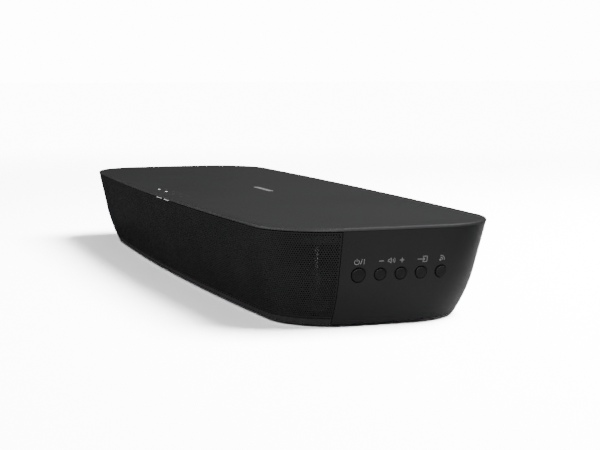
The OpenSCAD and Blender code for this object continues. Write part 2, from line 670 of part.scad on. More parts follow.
// The baffle has both port tubes moulded on, and a notch for the indicator lights' cable.
module front_baffle() {
    port_r = port_bore / 2;
    color("#1a1a1a") difference() {
        union() {
            translate([-baffle_w / 2, baffle_y, floor_z + 0.05]) cube([baffle_w, baffle_t, wall_h - 0.45]);
            for (side = [-1, 1]) translate([side * port_x, baffle_y + 0.5, driver_z]) rotate([-90, 0, 0])
                cylinder(r = port_r + 1.5, h = port_l - 0.5);
        }
        for (side = [-1, 1]) {
            at_driver(side) translate([0, 0, -baffle_t - 1])
                linear_extrude(baffle_t + 2) polygon(stadium(basket_l + 1, basket_h + 1));
            at_driver(side) for (sx = [-1, 1], sy = [-1, 1])
                translate([sx * screw_dx, sy * screw_dy, -baffle_t - 1]) cylinder(d = 2.8 + 2 * screw_play, h = baffle_t + 2);
            translate([side * port_x, baffle_y, driver_z]) rotate([-90, 0, 0]) rotate_extrude() polygon(concat(
                [[0, port_l + 1], [port_r, port_l + 1], [port_r, port_flare]],
                [for (k = [1 : 5]) let (a = 90 * k / 5) [port_r + port_flare * (1 - cos(a)), port_flare * (1 - sin(a))]],
                [[port_r + port_flare, -1], [0, -1]]));
        }
        translate([cable_x - 5, baffle_y - 1, under_z - 10.5]) cube([10, baffle_t + 2, 20]);
    }
}
module speaker_box(side) {
    x0 = side > 0 ? box_inner_x : -box_inner_x - box_w;
    color("#303032") translate([x0, baffle_y + baffle_t, floor_z + 0.05]) difference() {
        cube([box_w, box_d, box_h]);
        translate([box_wall, -1, box_wall]) cube([box_w - 2 * box_wall, box_d + 1 - box_wall, box_h - 2 * box_wall]);
    }
}
// Rails and ribs that the grille sheet is glued to.
module grille_frame() {
    back = grille_t + 0.4;
    rail_t = 2;
    color("#202022") {
        for (d = [[2, 6], [36, 41]]) {
            outer = whole(front_half(inset(d[1]), back, seam_y + 1));
            inner = whole(front_half(inset(d[1]), back + rail_t, seam_y + 1));
            translate([0, 0, under_z - d[1]]) linear_extrude(d[1] - d[0]) polygon(concat(outer, backwards(inner)));
        }
        for (x = rib_places) along_x(x - 1, 2) polygon(concat(
            [[baffle_y - 0.1, under_z - 2], [baffle_y - 0.1, under_z - 41]],
            [for (d = [41 : -3 : 2]) [front_y(x, under_z - d) + back, under_z - d]]));
    }
}
rib_places = [-171, -61, 61, 171];
module driver_frame(side) {
    color("#2c2e30") at_driver(side) difference() {
        union() {
            linear_extrude(2) polygon(rounded_rect(driver_l, driver_h, 5));
            translate([0, 0, -basket_d - plate_t]) linear_extrude(basket_d + plate_t + 1) polygon(stadium(basket_l, basket_h));
        }
        // the recess for the surround, the ledge it is glued to, and the space behind it
        linear_extrude(4) polygon(stadium(basket_l - 3, basket_h - 3));
        translate([0, 0, -2]) linear_extrude(4) polygon(stadium(basket_l - 6, basket_h - 6));
        translate([0, 0, -basket_d]) linear_extrude(basket_d - 1) polygon(stadium(basket_l - 3, basket_h - 3));
        translate([0, 0, -basket_d - plate_t - 1]) cylinder(d = plate_hole_d, h = plate_t + 2);
        for (sx = [-1, 1], sy = [-1, 1]) translate([sx * screw_dx, sy * screw_dy, -1]) cylinder(d = 3.2, h = 4);
        for (sx = [-1, 1]) translate([sx * 31, 0, -basket_d - plate_t - 1]) rounded_bar(18, 14, plate_t + 2);
    }
}
// A half-round rubber roll between the frame and the cone, as rings at (offset, height).
module surround(side) {
    l = basket_l - 7;
    h = basket_h - 7;
    outer = [for (k = [0 : 8]) let (a = 180 * k / 8) [1.8 * cos(a), 0.2 + 1.8 * sin(a)]];
    inner = [for (k = [8 : -1 : 0]) let (a = 180 * k / 8) [1.4 * cos(a), 0.2 + 1.4 * sin(a)]];
    color("#0f0f10") at_driver(side)
        skin([for (p = concat(outer, inner)) at_z(stadium(l + 2 * p[0], h + 2 * p[0], 8), p[1])], true, true);
}
cone_l = basket_l - 11;
cone_h = basket_h - 11;
module cone(side) {
    color("#3b3b3d") at_driver(side) difference() {
        hull() {
            translate([0, 0, -0.4]) rounded_bar(cone_l, cone_h, 0.4);
            translate([0, 0, neck_z]) cylinder(d = neck_d, h = 0.4, $fn = 32);
        }
        hull() {
            rounded_bar(cone_l - 1.6, cone_h - 1.6, 0.5);
            translate([0, 0, neck_z - 0.4]) cylinder(d = coil_d + 0.3, h = 0.8, $fn = 32);
        }
    }
}
module dust_cap(side) {
    r = coil_d / 2;
    color("#48484a") at_driver(side) translate([0, 0, neck_z + 0.5]) rotate_extrude() polygon(concat(
        [for (k = [0 : 6]) let (a = 90 * k / 6) [r * cos(a), 3.6 * sin(a)]],
        [for (k = [6 : -1 : 0]) let (a = 90 * k / 6) [(r - 0.5) * cos(a), 3.1 * sin(a)]]));
}
module voice_coil(side) {
    color("#b06a35") at_driver(side) translate([0, 0, neck_z - 9.5]) difference() {
        cylinder(d = coil_d, h = 10);
        translate([0, 0, -1]) cylinder(d = coil_d - 0.5, h = 12);
    }
}
// A corrugated disc that centres the coil; its rim is glued to the frame's back plate.
module spider(side) {
    inner_r = coil_d / 2 + 0.1;
    step = (plate_hole_d / 2 + 2 - inner_r) / 10;
    color("#c2a060") at_driver(side) translate([0, 0, 0.05 - basket_d]) rotate_extrude() polygon(concat(
        [for (k = [0 : 10]) [inner_r + k * step, k % 2 == 0 ? 0 : 0.5]],
        [for (k = [10 : -1 : 0]) [inner_r + k * step, k % 2 == 0 ? 0.3 : 0.8]]));
}
magnet_top = -basket_d - plate_t - steel_t;
module magnet(side) {
    color("#2f2f31") at_driver(side) translate([0, 0, magnet_top - magnet_h]) difference() {
        cylinder(d = magnet_d, h = magnet_h);
        translate([0, 0, -1]) cylinder(d = 20, h = magnet_h + 2);
    }
}
module pole_pieces(side) {
    color("#a4a7ab") at_driver(side) {
        translate([0, 0, magnet_top]) difference() {
            cylinder(d = magnet_d, h = steel_t);
            translate([0, 0, -1]) cylinder(d = gap_d, h = steel_t + 2);
        }
        translate([0, 0, magnet_top - magnet_h - steel_t]) union() {
            cylinder(d = magnet_d, h = steel_t);
            cylinder(d = pole_d, h = 2 * steel_t + magnet_h);
        }
    }
}
module driver_screws() {
    color("#6a6c70") for (side = [-1, 1]) at_driver(side) for (sx = [-1, 1], sy = [-1, 1])
        translate([sx * screw_dx, sy * screw_dy, 2]) rotate([180, 0, 0]) pan_screw(2.8, 5, 5, 1.8);
}

// ---- buttons, in one row on the right-hand end ----
// Each entry: name, y of the axis, bore.
function small_y(k) = button_last_y - (3 - k) * button_pitch;
buttons = [["power", small_y(0) - power_pitch, power_hole_d],
    ["volume_down", small_y(0), small_hole_d], ["volume_up", small_y(1), small_hole_d],
    ["input", small_y(2), small_hole_d], ["pairing", small_y(3), small_hole_d]];
wall_tilt = atan((end_x(button_z + 3) - end_x(button_z - 3)) / 6);
face_x = end_x(button_z) - end_bow * 0.08 + button_proud;
flange_x = end_x(button_z - power_hole_d / 2 - flange_over) - wall_t - 2.3;
stem_x = flange_x - flange_t - 1.8;
switch_x = stem_x - 1.1;
button_board_x = switch_x - switch_h;
plunger_in = 1.4;
module button_cap(b) {
    cap_r = b[2] / 2 - button_gap;
    translate([0, b[1], button_z]) union() {
        intersection() {
            translate([flange_x - 0.1, 0, 0]) rotate([0, 90, 0]) cylinder(r = cap_r, h = face_x - flange_x + 4);
            translate([face_x, 0, 0]) rotate([0, wall_tilt, 0]) translate([-20, -10, -10]) cube([20, 20, 20]);
        }
        translate([flange_x - flange_t, 0, 0]) rotate([0, 90, 0]) cylinder(r = b[2] / 2 + flange_over, h = flange_t);
        translate([stem_x, 0, 0]) rotate([0, 90, 0]) cylinder(d = 3, h = flange_x - flange_t - stem_x);
    }
}
module button(name) {
    color("#29292b") for (b = buttons) if (b[0] == name) button_cap(b);
}
module plunger(name) {
    color("#d8d8d8") for (b = buttons) if (b[0] == name)
        translate([switch_x - plunger_in, b[1], button_z]) rotate([0, 90, 0])
            cylinder(d = plunger_d, h = stem_x - switch_x + plunger_in);
}
module tact_switches() {
    color("#3a3c3e") for (b = buttons) translate([button_board_x, b[1], button_z]) rotate([0, 90, 0]) difference() {
        translate([-switch_w / 2, -switch_w / 2, 0]) cube([switch_w, switch_w, switch_h]);
        translate([0, 0, switch_h - plunger_in - button_travel - 0.3])
            cylinder(d = plunger_d + 0.2, h = switch_h);
    }
}
button_board_y = (buttons[0][1] + buttons[4][1]) / 2;
button_board_l = buttons[4][1] - buttons[0][1] + 8;
button_board_z = floor_z + 4.2;
module button_board() {
    color("#1d5a38") translate([button_board_x - board_t, button_board_y - button_board_l / 2, button_board_z])
        cube([board_t, button_board_l, button_z + 8 - button_board_z]);
}

// ---- screws and wiring ----
module case_screws() {
    color("#5c5e62") for (p = screw_places) translate([p[0], p[1], head_seat_z])
        pan_screw(screw_d, split_z - head_seat_z + screw_grip, screw_head_d, screw_head_h);
}
module board_screws() {
    color("#6a6c70") {
        for (p = standoffs) translate([p[0], p[1], board_top]) rotate([180, 0, 0]) pan_screw(2, board_t + 4.5, 3.8, 1.4);
        for (sx = [-1, 1]) translate([led_x + sx * led_board_screw_x, led_board_y, led_board_z]) pan_screw(2, board_t + 3, 3.8, 1.2);
        for (p = hanger_screws) translate([p[0], hanger_y - hanger_t, p[1]]) rotate([-90, 0, 0]) pan_screw(2, hanger_t + 2.4, 3.8, 1.2);
    }
}
// A round lead that bends at each of its points.
module lead(points, d) {
    for (k = [0 : len(points) - 2]) hull() {
        translate(points[k]) sphere(d = d, $fn = 8);
        translate(points[k + 1]) sphere(d = d, $fn = 8);
    }
}
module speaker_leads() {
    back = baffle_y + baffle_t + box_d;
    start_y = board_y - board_d / 2 - 0.2;
    color("#a02a2a") for (side = [-1, 1], n = [0, 1])
        lead([[main_x + side * 46 + 1.5, start_y, board_top + 1.5 + n * 2.2],
              [main_x + side * 46 + side * 6, back + 2.2, board_top + 3 + n * 2.2],
              [side * 90, back + 1.6, board_top + 6 + n * 2.2],
              [side * 100, back + 1.6, board_top + 12 + n * 2.2]], 1.4);
}
// A thin upright ribbon along a path.
module flat_cable(path, z, h) {
    t = 0.25;
    translate([0, 0, z]) for (k = [0 : len(path) - 2]) {
        a = path[k];
        b = path[k + 1];
        u = (b - a) / norm(b - a) * t;
        n = [-u[1], u[0]];
        linear_extrude(h) polygon([a - u - n, b + u - n, b + u + n, a - u + n]);
    }
}
module flat_cables() {
    x_end = box_inner_x + box_w;
    back = baffle_y + baffle_t + box_d;
    start_y = board_y - board_d / 2;
    ribbon_z = board_top + 16;
    color("#d9d9d2") {
        flat_cable([[cable_x + 12, start_y + 5], [cable_x + 12, start_y - 2.4], [x_end + 4, back + 2.1],
            [button_board_x - board_t - 3, button_board_y], [button_board_x - board_t - 0.3, button_board_y]],
            ribbon_z, 7);
        flat_cable([[cable_x + 12, start_y + 5], [cable_x + 12, start_y]], board_top + 0.3, ribbon_z + 3 - board_top);
        flat_cable([[cable_x, start_y + 5], [cable_x, start_y - 5]], board_top + 0.3, led_board_z - board_top + 1);
        flat_cable([[cable_x, start_y - 4], [cable_x, led_board_y + 6]], led_board_z - 3, 4.6);
    }
}

top_cover();
front_grille();
cabinet_shell();
bottom_cover();
terminal_panel();
badge();
rubber_feet();
wall_hangers();
led_lenses();
grille_frame();
front_baffle();
for (s = [["left", -1], ["right", 1]]) {
    speaker_box(s[1]);
    driver_frame(s[1]);
    surround(s[1]);
    cone(s[1]);
    dust_cap(s[1]);
    voice_coil(s[1]);
    spider(s[1]);
    magnet(s[1]);
    pole_pieces(s[1]);
}
driver_screws();
main_board();
hdmi_socket();
usb_socket();
optical_socket();
optical_shutter();
heat_sink();
wireless_module();
board_components();
power_board();
power_components();
ac_inlet();
inlet_pins();
button_board();
tact_switches();
for (name = ["power", "volume_down", "volume_up", "input", "pairing"]) {
    button(name);
    plunger(name);
}
indicator_board();
ir_receiver();
case_screws();
board_screws();
speaker_leads();
flat_cables();
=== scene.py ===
import math

import bmesh
import bpy
import numpy as np
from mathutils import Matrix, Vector


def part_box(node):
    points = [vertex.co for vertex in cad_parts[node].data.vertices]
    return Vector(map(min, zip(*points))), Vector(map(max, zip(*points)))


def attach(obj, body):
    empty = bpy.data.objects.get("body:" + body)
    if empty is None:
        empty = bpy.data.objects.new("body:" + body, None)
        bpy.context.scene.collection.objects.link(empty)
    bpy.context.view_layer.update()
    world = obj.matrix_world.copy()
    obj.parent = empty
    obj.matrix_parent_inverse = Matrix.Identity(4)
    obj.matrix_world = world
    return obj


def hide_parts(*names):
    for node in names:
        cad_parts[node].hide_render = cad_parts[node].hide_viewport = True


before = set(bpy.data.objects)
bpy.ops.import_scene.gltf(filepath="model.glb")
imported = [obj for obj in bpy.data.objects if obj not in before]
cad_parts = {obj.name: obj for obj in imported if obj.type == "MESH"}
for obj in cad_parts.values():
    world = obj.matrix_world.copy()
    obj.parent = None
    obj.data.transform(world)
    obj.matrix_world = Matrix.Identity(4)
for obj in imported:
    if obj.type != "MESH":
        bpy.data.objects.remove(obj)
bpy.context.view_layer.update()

# ---------------------------------------------------------------------------------------------
# Studio: a pale floor that fades into a pale backdrop, one broad soft box overhead and behind,
# fills off the right-hand end and the front, a tall strip that draws a highlight down the grille,
# and a faint low panel behind that lifts the top. Only the overhead box lights the floor.
# ---------------------------------------------------------------------------------------------
camera_data = bpy.data.cameras.new("studio_camera")
camera = bpy.data.objects.new("studio_camera", camera_data)
bpy.context.collection.objects.link(camera)
camera_data.sensor_width = 36
camera_data.lens = 88.21
camera_data.clip_start = 0.02
camera_data.clip_end = 60
camera.location = (0.8866, -0.2817, 0.1314)
camera.rotation_euler = (math.pi / 2 - 0.1096, 0, 1.2342)
bpy.context.scene.camera = camera


def soft_box(name, place, aim, width, height, watts):
    light = bpy.data.lights.new(name, "AREA")
    light.shape = "RECTANGLE"
    light.size = width
    light.size_y = height
    light.energy = watts
    lamp = bpy.data.objects.new(name, light)
    bpy.context.collection.objects.link(lamp)
    lamp.location = place
    lamp.rotation_euler = (Vector(aim) - Vector(place)).to_track_quat("-Z", "Y").to_euler()
    lamp.visible_camera = False
    return lamp


soft_box("overhead_box", (0.35, 0.85, 1.35), (0, 0, 0), 1.2, 0.9, 24)
end_fill = soft_box("end_fill", (1.9, -0.45, 0.45), (0.2, 0, 0.02), 1.2, 0.7, 31)
front_fill = soft_box("front_fill", (-0.1, -1.9, 0.5), (0, 0, 0.02), 1.8, 0.7, 22)
strip_box = soft_box("strip_box", (-1.25, -1.4, 0.5), (0, 0, 0.02), 0.3, 0.9, 4.5)
back_panel = soft_box("back_panel", (-1.2, 1.05, 0.35), (0.1, 0, 0.03), 1.5, 0.5, 0.4)

world = bpy.data.worlds.new("studio_air")
bpy.context.scene.world = world
world.use_nodes = True
air = world.node_tree
air_glow = air.nodes["Background"]
air_seen = air.nodes.new("ShaderNodeLightPath")
air_way = air.nodes.new("ShaderNodeTexCoord")
air_split = air.nodes.new("ShaderNodeSeparateXYZ")
air.links.new(air_way.outputs["Generated"], air_split.inputs[0])
air_height = air.nodes.new("ShaderNodeMapRange")
air.links.new(air_split.outputs["Z"], air_height.inputs["Value"])
for label, value in (("From Min", 0.1), ("From Max", 0.9), ("To Min", 0.015), ("To Max", 0.09)):
    air_height.inputs[label].default_value = value
air_strength = air.nodes.new("ShaderNodeMix")
air_strength.data_type = "FLOAT"
air.links.new(air_seen.outputs["Is Camera Ray"], air_strength.inputs["Factor"])
air.links.new(air_height.outputs["Result"], air_strength.inputs["A"])
BACKDROP_GLOW = 14
air_strength.inputs["B"].default_value = BACKDROP_GLOW
air.links.new(air_strength.outputs["Result"], air_glow.inputs["Strength"])
air_glow.inputs["Color"].default_value = (0.99, 0.99, 1.0, 1)

FLOOR_REACH = 9.0
FLOOR_SEEN, FAR_SEEN, FAR_BOUNCE = 19.0, 12.5, 0.06
FADE_START, FADE_END = 0.45, 1.5
floor_mesh = bpy.data.meshes.new("studio_floor")
floor_mesh.from_pydata([(-FLOOR_REACH, -FLOOR_REACH, 0), (FLOOR_REACH, -FLOOR_REACH, 0),
                        (FLOOR_REACH, FLOOR_REACH, 0), (-FLOOR_REACH, FLOOR_REACH, 0)], [], [(0, 1, 2, 3)])
studio_floor = bpy.data.objects.new("studio_floor", floor_mesh)
bpy.context.collection.objects.link(studio_floor)
floor_paint = bpy.data.materials.new("studio_floor_paint")
floor_paint.use_nodes = True
paint = floor_paint.node_tree
paint.nodes.remove(paint.nodes["Principled BSDF"])
seen = paint.nodes.new("ShaderNodeLightPath")
spot = paint.nodes.new("ShaderNodeTexCoord")
# What the case reflects of the floor: least in front of it, most behind it and to the left.
bounce = []
for way, span in (((0.0, 1.0, 0.0), (-0.04, 0.10, 0.06, 1.1)), ((1.0, 0.8, 0.0), (0.20, 0.35, 1.0, 0.08))):
    across = paint.nodes.new("ShaderNodeVectorMath")
    across.operation = "DOT_PRODUCT"
    across.inputs[1].default_value = way
    paint.links.new(spot.outputs["Object"], across.inputs[0])
    ramp = paint.nodes.new("ShaderNodeMapRange")
    ramp.interpolation_type = "SMOOTHSTEP"
    paint.links.new(across.outputs["Value"], ramp.inputs["Value"])
    for label, value in zip(("From Min", "From Max", "To Min", "To Max"), span):
        ramp.inputs[label].default_value = value
    bounce.append(ramp.outputs["Result"])
both_ways = paint.nodes.new("ShaderNodeMath")
both_ways.operation = "MULTIPLY"
for place, value in enumerate(bounce):
    paint.links.new(value, both_ways.inputs[place])
brightness = paint.nodes.new("ShaderNodeMix")
brightness.data_type = "FLOAT"
paint.links.new(seen.outputs["Is Camera Ray"], brightness.inputs["Factor"])
paint.links.new(both_ways.outputs[0], brightness.inputs["A"])
brightness.inputs["B"].default_value = FLOOR_SEEN
matt = paint.nodes.new("ShaderNodeBsdfDiffuse")
paint.links.new(brightness.outputs["Result"], matt.inputs["Color"])
distance = paint.nodes.new("ShaderNodeVectorMath")
distance.operation = "LENGTH"
paint.links.new(spot.outputs["Object"], distance.inputs[0])
fading = paint.nodes.new("ShaderNodeMapRange")
fading.interpolation_type = "SMOOTHSTEP"
paint.links.new(distance.outputs["Value"], fading.inputs["Value"])
fading.inputs["From Min"].default_value = FADE_START
fading.inputs["From Max"].default_value = FADE_END
white = paint.nodes.new("ShaderNodeEmission")
white_glow = paint.nodes.new("ShaderNodeMix")
white_glow.data_type = "FLOAT"
paint.links.new(seen.outputs["Is Camera Ray"], white_glow.inputs["Factor"])
white_glow.inputs["A"].default_value = FAR_BOUNCE
white_glow.inputs["B"].default_value = FAR_SEEN
paint.links.new(white_glow.outputs["Result"], white.inputs["Strength"])
far_white = paint.nodes.new("ShaderNodeMixShader")
paint.links.new(fading.outputs["Result"], far_white.inputs["Fac"])
paint.links.new(matt.outputs[0], far_white.inputs[1])
paint.links.new(white.outputs[0], far_white.inputs[2])
clear = paint.nodes.new("ShaderNodeBsdfTransparent")
facing = paint.nodes.new("ShaderNodeNewGeometry")
one_sided = paint.nodes.new("ShaderNodeMixShader")
paint.links.new(facing.outputs["Backfacing"], one_sided.inputs["Fac"])
paint.links.new(far_white.outputs[0], one_sided.inputs[1])
paint.links.new(clear.outputs[0], one_sided.inputs[2])
paint.links.new(one_sided.outputs[0], paint.nodes["Material Output"].inputs["Surface"])
floor_mesh.materials.append(floor_paint)

for lamp in (end_fill, front_fill, strip_box, back_panel):
    lit_things = bpy.data.collections.new(lamp.name + "_receivers")
    lit_things.objects.link(studio_floor)
    lit_things.collection_objects[0].light_linking.link_state = "EXCLUDE"
    lamp.light_linking.receiver_collection = lit_things

# ---------------------------------------------------------------------------------------------
# The case's form. Seen from above it is a rounded oblong whose four sides bulge a little; from
# the top cover down, its sides lean in and then curl under. Every outer shell follows this rule.
# Lengths here are millimetres; a depth is measured down from the top cover's underside.
# ---------------------------------------------------------------------------------------------
CASE_W, CASE_D, CASE_H = 449.92, 136.0, 52.0
TOP_T = 2.0
FLOOR_Z = 4.5
UNDER_Z = CASE_H - TOP_T
WALL_H = UNDER_Z - FLOOR_Z
SEAM_Y = 27.5
FRONT_R, REAR_R = 33.0, 36.0
FRONT_BOW, REAR_BOW, END_BOW = 7.5, 5.0, 2.0
LIP, SLOPE, ROLL_START, ROLL_R = 0.2, 0.18, WALL_H - 21.0, 98.0
END_RATIO, CORNER_SHRINK = 1.33, 0.25


def inset_at(depth):
    curl = np.maximum(0, depth - ROLL_START)
    return LIP + SLOPE * depth + ROLL_R - np.sqrt(ROLL_R ** 2 - curl ** 2)


def case_sizes(inset, wall, bow, corner):
    a = CASE_W / 2 - inset * END_RATIO - wall - END_BOW
    b = CASE_D / 2 - inset - wall - bow
    r = np.maximum(4, corner - CORNER_SHRINK * inset - wall)
    return a, b, r


def bulge(x, y, a, b, bow):
    side = np.clip((np.abs(y) - SEAM_Y) / (b - SEAM_Y), 0, None)
    out_x = x + np.sign(x) * END_BOW * (1 - (y / b) ** 2) * (np.abs(x) / a) ** 4
    out_y = y + np.sign(y) * bow * (1 - (x / a) ** 2) * side
    return out_x, out_y


def front_point(u, inset, wall=0.0, seam=SEAM_Y):
    """A point of the front: u runs from -1 at the left seam through 0 in the middle to 1."""
    a, b, r = case_sizes(inset, wall, FRONT_BOW, FRONT_R)
    cx, cy = a - r, -(b - r)
    start = -np.arcsin(np.clip((seam + cy) / r, 0, 1))
    s = 1 - np.abs(u)
    corner_share = 0.2
    turn = start + (-math.pi / 2 - start) * np.clip(s / corner_share, 0, 1)
    in_arc = s < corner_share
    x = np.where(in_arc, cx + r * np.cos(turn), cx * (1 - (s - corner_share) / (1 - corner_share)))
    y = np.where(in_arc, cy + r * np.sin(turn), -b)
    x, y = bulge(x, y, a, b, FRONT_BOW)
    return x * np.sign(u + 1e-12), y


def rear_point(u, inset, wall=0.0, seam=SEAM_Y):
    """A point of the ends and rear: u runs from 1 at the right seam to 0 in the middle and on to -1."""
    a, b, r = case_sizes(inset, wall, REAR_BOW, REAR_R)
    _, bf, rf = case_sizes(inset, wall, FRONT_BOW, FRONT_R)
    cx, cy = a - r, b - r
    cyf = -(bf - rf)
    start = -np.arcsin(np.clip((seam + cyf) / rf, 0, 1))
    s = 1 - np.abs(u)
    arc_end, side_end, corner_end = 0.03, 0.22, 0.42
    t1 = start * (1 - np.clip(s / arc_end, 0, 1))
    t2 = np.clip((s - arc_end) / (side_end - arc_end), 0, 1)
    t3 = math.pi / 2 * np.clip((s - side_end) / (corner_end - side_end), 0, 1)
    t4 = np.clip((s - corner_end) / (1 - corner_end), 0, 1)
    stretch = [s < arc_end, s < side_end, s < corner_end]
    x = np.select(stretch, [a - rf + rf * np.cos(t1), a + 0 * s, cx + r * np.cos(t3)], cx * (1 - t4))
    y = np.select(stretch, [cyf + rf * np.sin(t1), cyf + (cy - cyf) * t2, cy + r * np.sin(t3)], b + 0 * s)
    x, y = bulge(x, y, a, b, REAR_BOW)
    return x * np.sign(u + 1e-12), y


def whole_outline(inset, wall=0.0, fine=1.0):
    """The closed outline, going round from the left seam by the front and back by the rear."""
    steps_f, steps_r = int(150 * fine), int(190 * fine)
    fx, fy = front_point(np.linspace(-1, 1, steps_f), inset, wall)
    rx, ry = rear_point(np.linspace(1, -1, steps_r), inset, wall)
    return np.column_stack([np.concatenate([fx, rx[1:-1]]), np.concatenate([fy, ry[1:-1]])])


def new_piece(name, points, faces, sharp=35):
    """A finished mesh object from points in millimetres, its faces turned outwards."""
    mesh = bpy.data.meshes.new(name)
    mesh.from_pydata([tuple(p) for p in np.asarray(points) * 0.001], [], faces)
    piece = bpy.data.objects.new(name, mesh)
    bpy.context.collection.objects.link(piece)
    settle(piece, sharp)
    return piece


def settle(piece, sharp=35):
    form = bmesh.new()
    form.from_mesh(piece.data)
    bmesh.ops.remove_doubles(form, verts=form.verts, dist=1e-7)
    bmesh.ops.recalc_face_normals(form, faces=form.faces)
    form.to_mesh(piece.data)
    form.free()
    piece.data.shade_smooth()
    piece.data.set_sharp_from_angle(angle=math.radians(sharp))


def lofted(rows, close_rows=True, caps=True, join=False):
    """Points and faces of a skin over rows of equal length; whole rows are closed round."""
    n, m = len(rows[0]), len(rows)
    points = np.concatenate(rows)
    cols = n if close_rows else n - 1
    faces = []
    for j in range(m if join else m - 1):
        for i in range(cols):
            k = (j + 1) % m
            faces.append((j * n + i, j * n + (i + 1) % n, k * n + (i + 1) % n, k * n + i))
    if caps and not join:
        faces.append(tuple(range(n - 1, -1, -1)))
        faces.append(tuple((m - 1) * n + i for i in range(n)))
    return points, faces


def at_level(outline, z):
    return np.column_stack([outline, np.full(len(outline), float(z))])


# ---------------------------------------------------------------------------------------------
# Surface effects that several finishes share. "moulded_surface" gives the broad unevenness and
# fine grain of a pressed or moulded skin; "hairlines" gives the directional scratches of metal.
# ---------------------------------------------------------------------------------------------
def node_group(name, inputs, outputs):
    group = bpy.data.node_groups.new(name, "ShaderNodeTree")
    for label, kind, value in inputs:
        socket = group.interface.new_socket(name=label, in_out="INPUT", socket_type=kind)
        if value is not None:
            socket.default_value = value
    for label, kind in outputs:
        group.interface.new_socket(name=label, in_out="OUTPUT", socket_type=kind)
    return group, group.nodes.new("NodeGroupInput"), group.nodes.new("NodeGroupOutput")


def math_node(tree, operation, first, second=None, third=None, clamp=False):
    node = tree.nodes.new("ShaderNodeMath")
    node.operation = operation
    node.use_clamp = clamp
    for place, value in enumerate((first, second, third)):
        if value is None:
            continue
        if isinstance(value, (int, float)):
            node.inputs[place].default_value = value
        else:
            tree.links.new(value, node.inputs[place])
    return node.outputs[0]


surface_group, given, result = node_group(
    "moulded_surface",
    [("Vector", "NodeSocketVector", None), ("Light Colour", "NodeSocketColor", (0.1, 0.1, 0.1, 1)),
     ("Dark Colour", "NodeSocketColor", (0.05, 0.05, 0.05, 1)), ("Roughness", "NodeSocketFloat", 0.5),
     ("Roughness Spread", "NodeSocketFloat", 0.1), ("Grain Scale", "NodeSocketFloat", 2000.0),
     ("Patch Scale", "NodeSocketFloat", 30.0)],
    [("Colour", "NodeSocketColor"), ("Roughness", "NodeSocketFloat"), ("Height", "NodeSocketFloat")])
grain = surface_group.nodes.new("ShaderNodeTexNoise")
grain.inputs["Detail"].default_value = 3
grain.inputs["Roughness"].default_value = 0.6
patch = surface_group.nodes.new("ShaderNodeTexNoise")
patch.inputs["Detail"].default_value = 5
patch.inputs["Roughness"].default_value = 0.62
links = surface_group.links
links.new(given.outputs["Vector"], grain.inputs["Vector"])
links.new(given.outputs["Vector"], patch.inputs["Vector"])
links.new(given.outputs["Grain Scale"], grain.inputs["Scale"])
links.new(given.outputs["Patch Scale"], patch.inputs["Scale"])
grain_part = math_node(surface_group, "MULTIPLY", grain.outputs["Fac"], 0.45)
both = math_node(surface_group, "MULTIPLY_ADD", patch.outputs["Fac"], 0.55, grain_part)
spread = math_node(surface_group, "MULTIPLY_ADD", both, 2.6, -0.8, clamp=True)
tint = surface_group.nodes.new("ShaderNodeMix")
tint.data_type = "RGBA"
links.new(spread, tint.inputs["Factor"])
links.new(given.outputs["Dark Colour"], tint.inputs["A"])
links.new(given.outputs["Light Colour"], tint.inputs["B"])
links.new(tint.outputs["Result"], result.inputs["Colour"])
offset = math_node(surface_group, "SUBTRACT", spread, 0.5)
links.new(math_node(surface_group, "MULTIPLY_ADD", offset, given.outputs["Roughness Spread"],
                    given.outputs["Roughness"], clamp=True), result.inputs["Roughness"])
links.new(grain.outputs["Fac"], result.inputs["Height"])

hairline_group, given, result = node_group(
    "hairlines",
    [("Vector", "NodeSocketVector", None), ("Stretch", "NodeSocketVector", (1, 1, 1)),
     ("Scale", "NodeSocketFloat", 900.0)],
    [("Height", "NodeSocketFloat"), ("Mask", "NodeSocketFloat")])
stretch = hairline_group.nodes.new("ShaderNodeVectorMath")
stretch.operation = "MULTIPLY"
lines = hairline_group.nodes.new("ShaderNodeTexNoise")
lines.inputs["Detail"].default_value = 4
hairline_group.links.new(given.outputs["Vector"], stretch.inputs[0])
hairline_group.links.new(given.outputs["Stretch"], stretch.inputs[1])
hairline_group.links.new(stretch.outputs[0], lines.inputs["Vector"])
hairline_group.links.new(given.outputs["Scale"], lines.inputs["Scale"])
hairline_group.links.new(lines.outputs["Fac"], result.inputs["Height"])
hair_mask = math_node(hairline_group, "MULTIPLY_ADD", lines.outputs["Fac"], 3.0, -1.0, clamp=True)
hairline_group.links.new(hair_mask, result.inputs["Mask"])


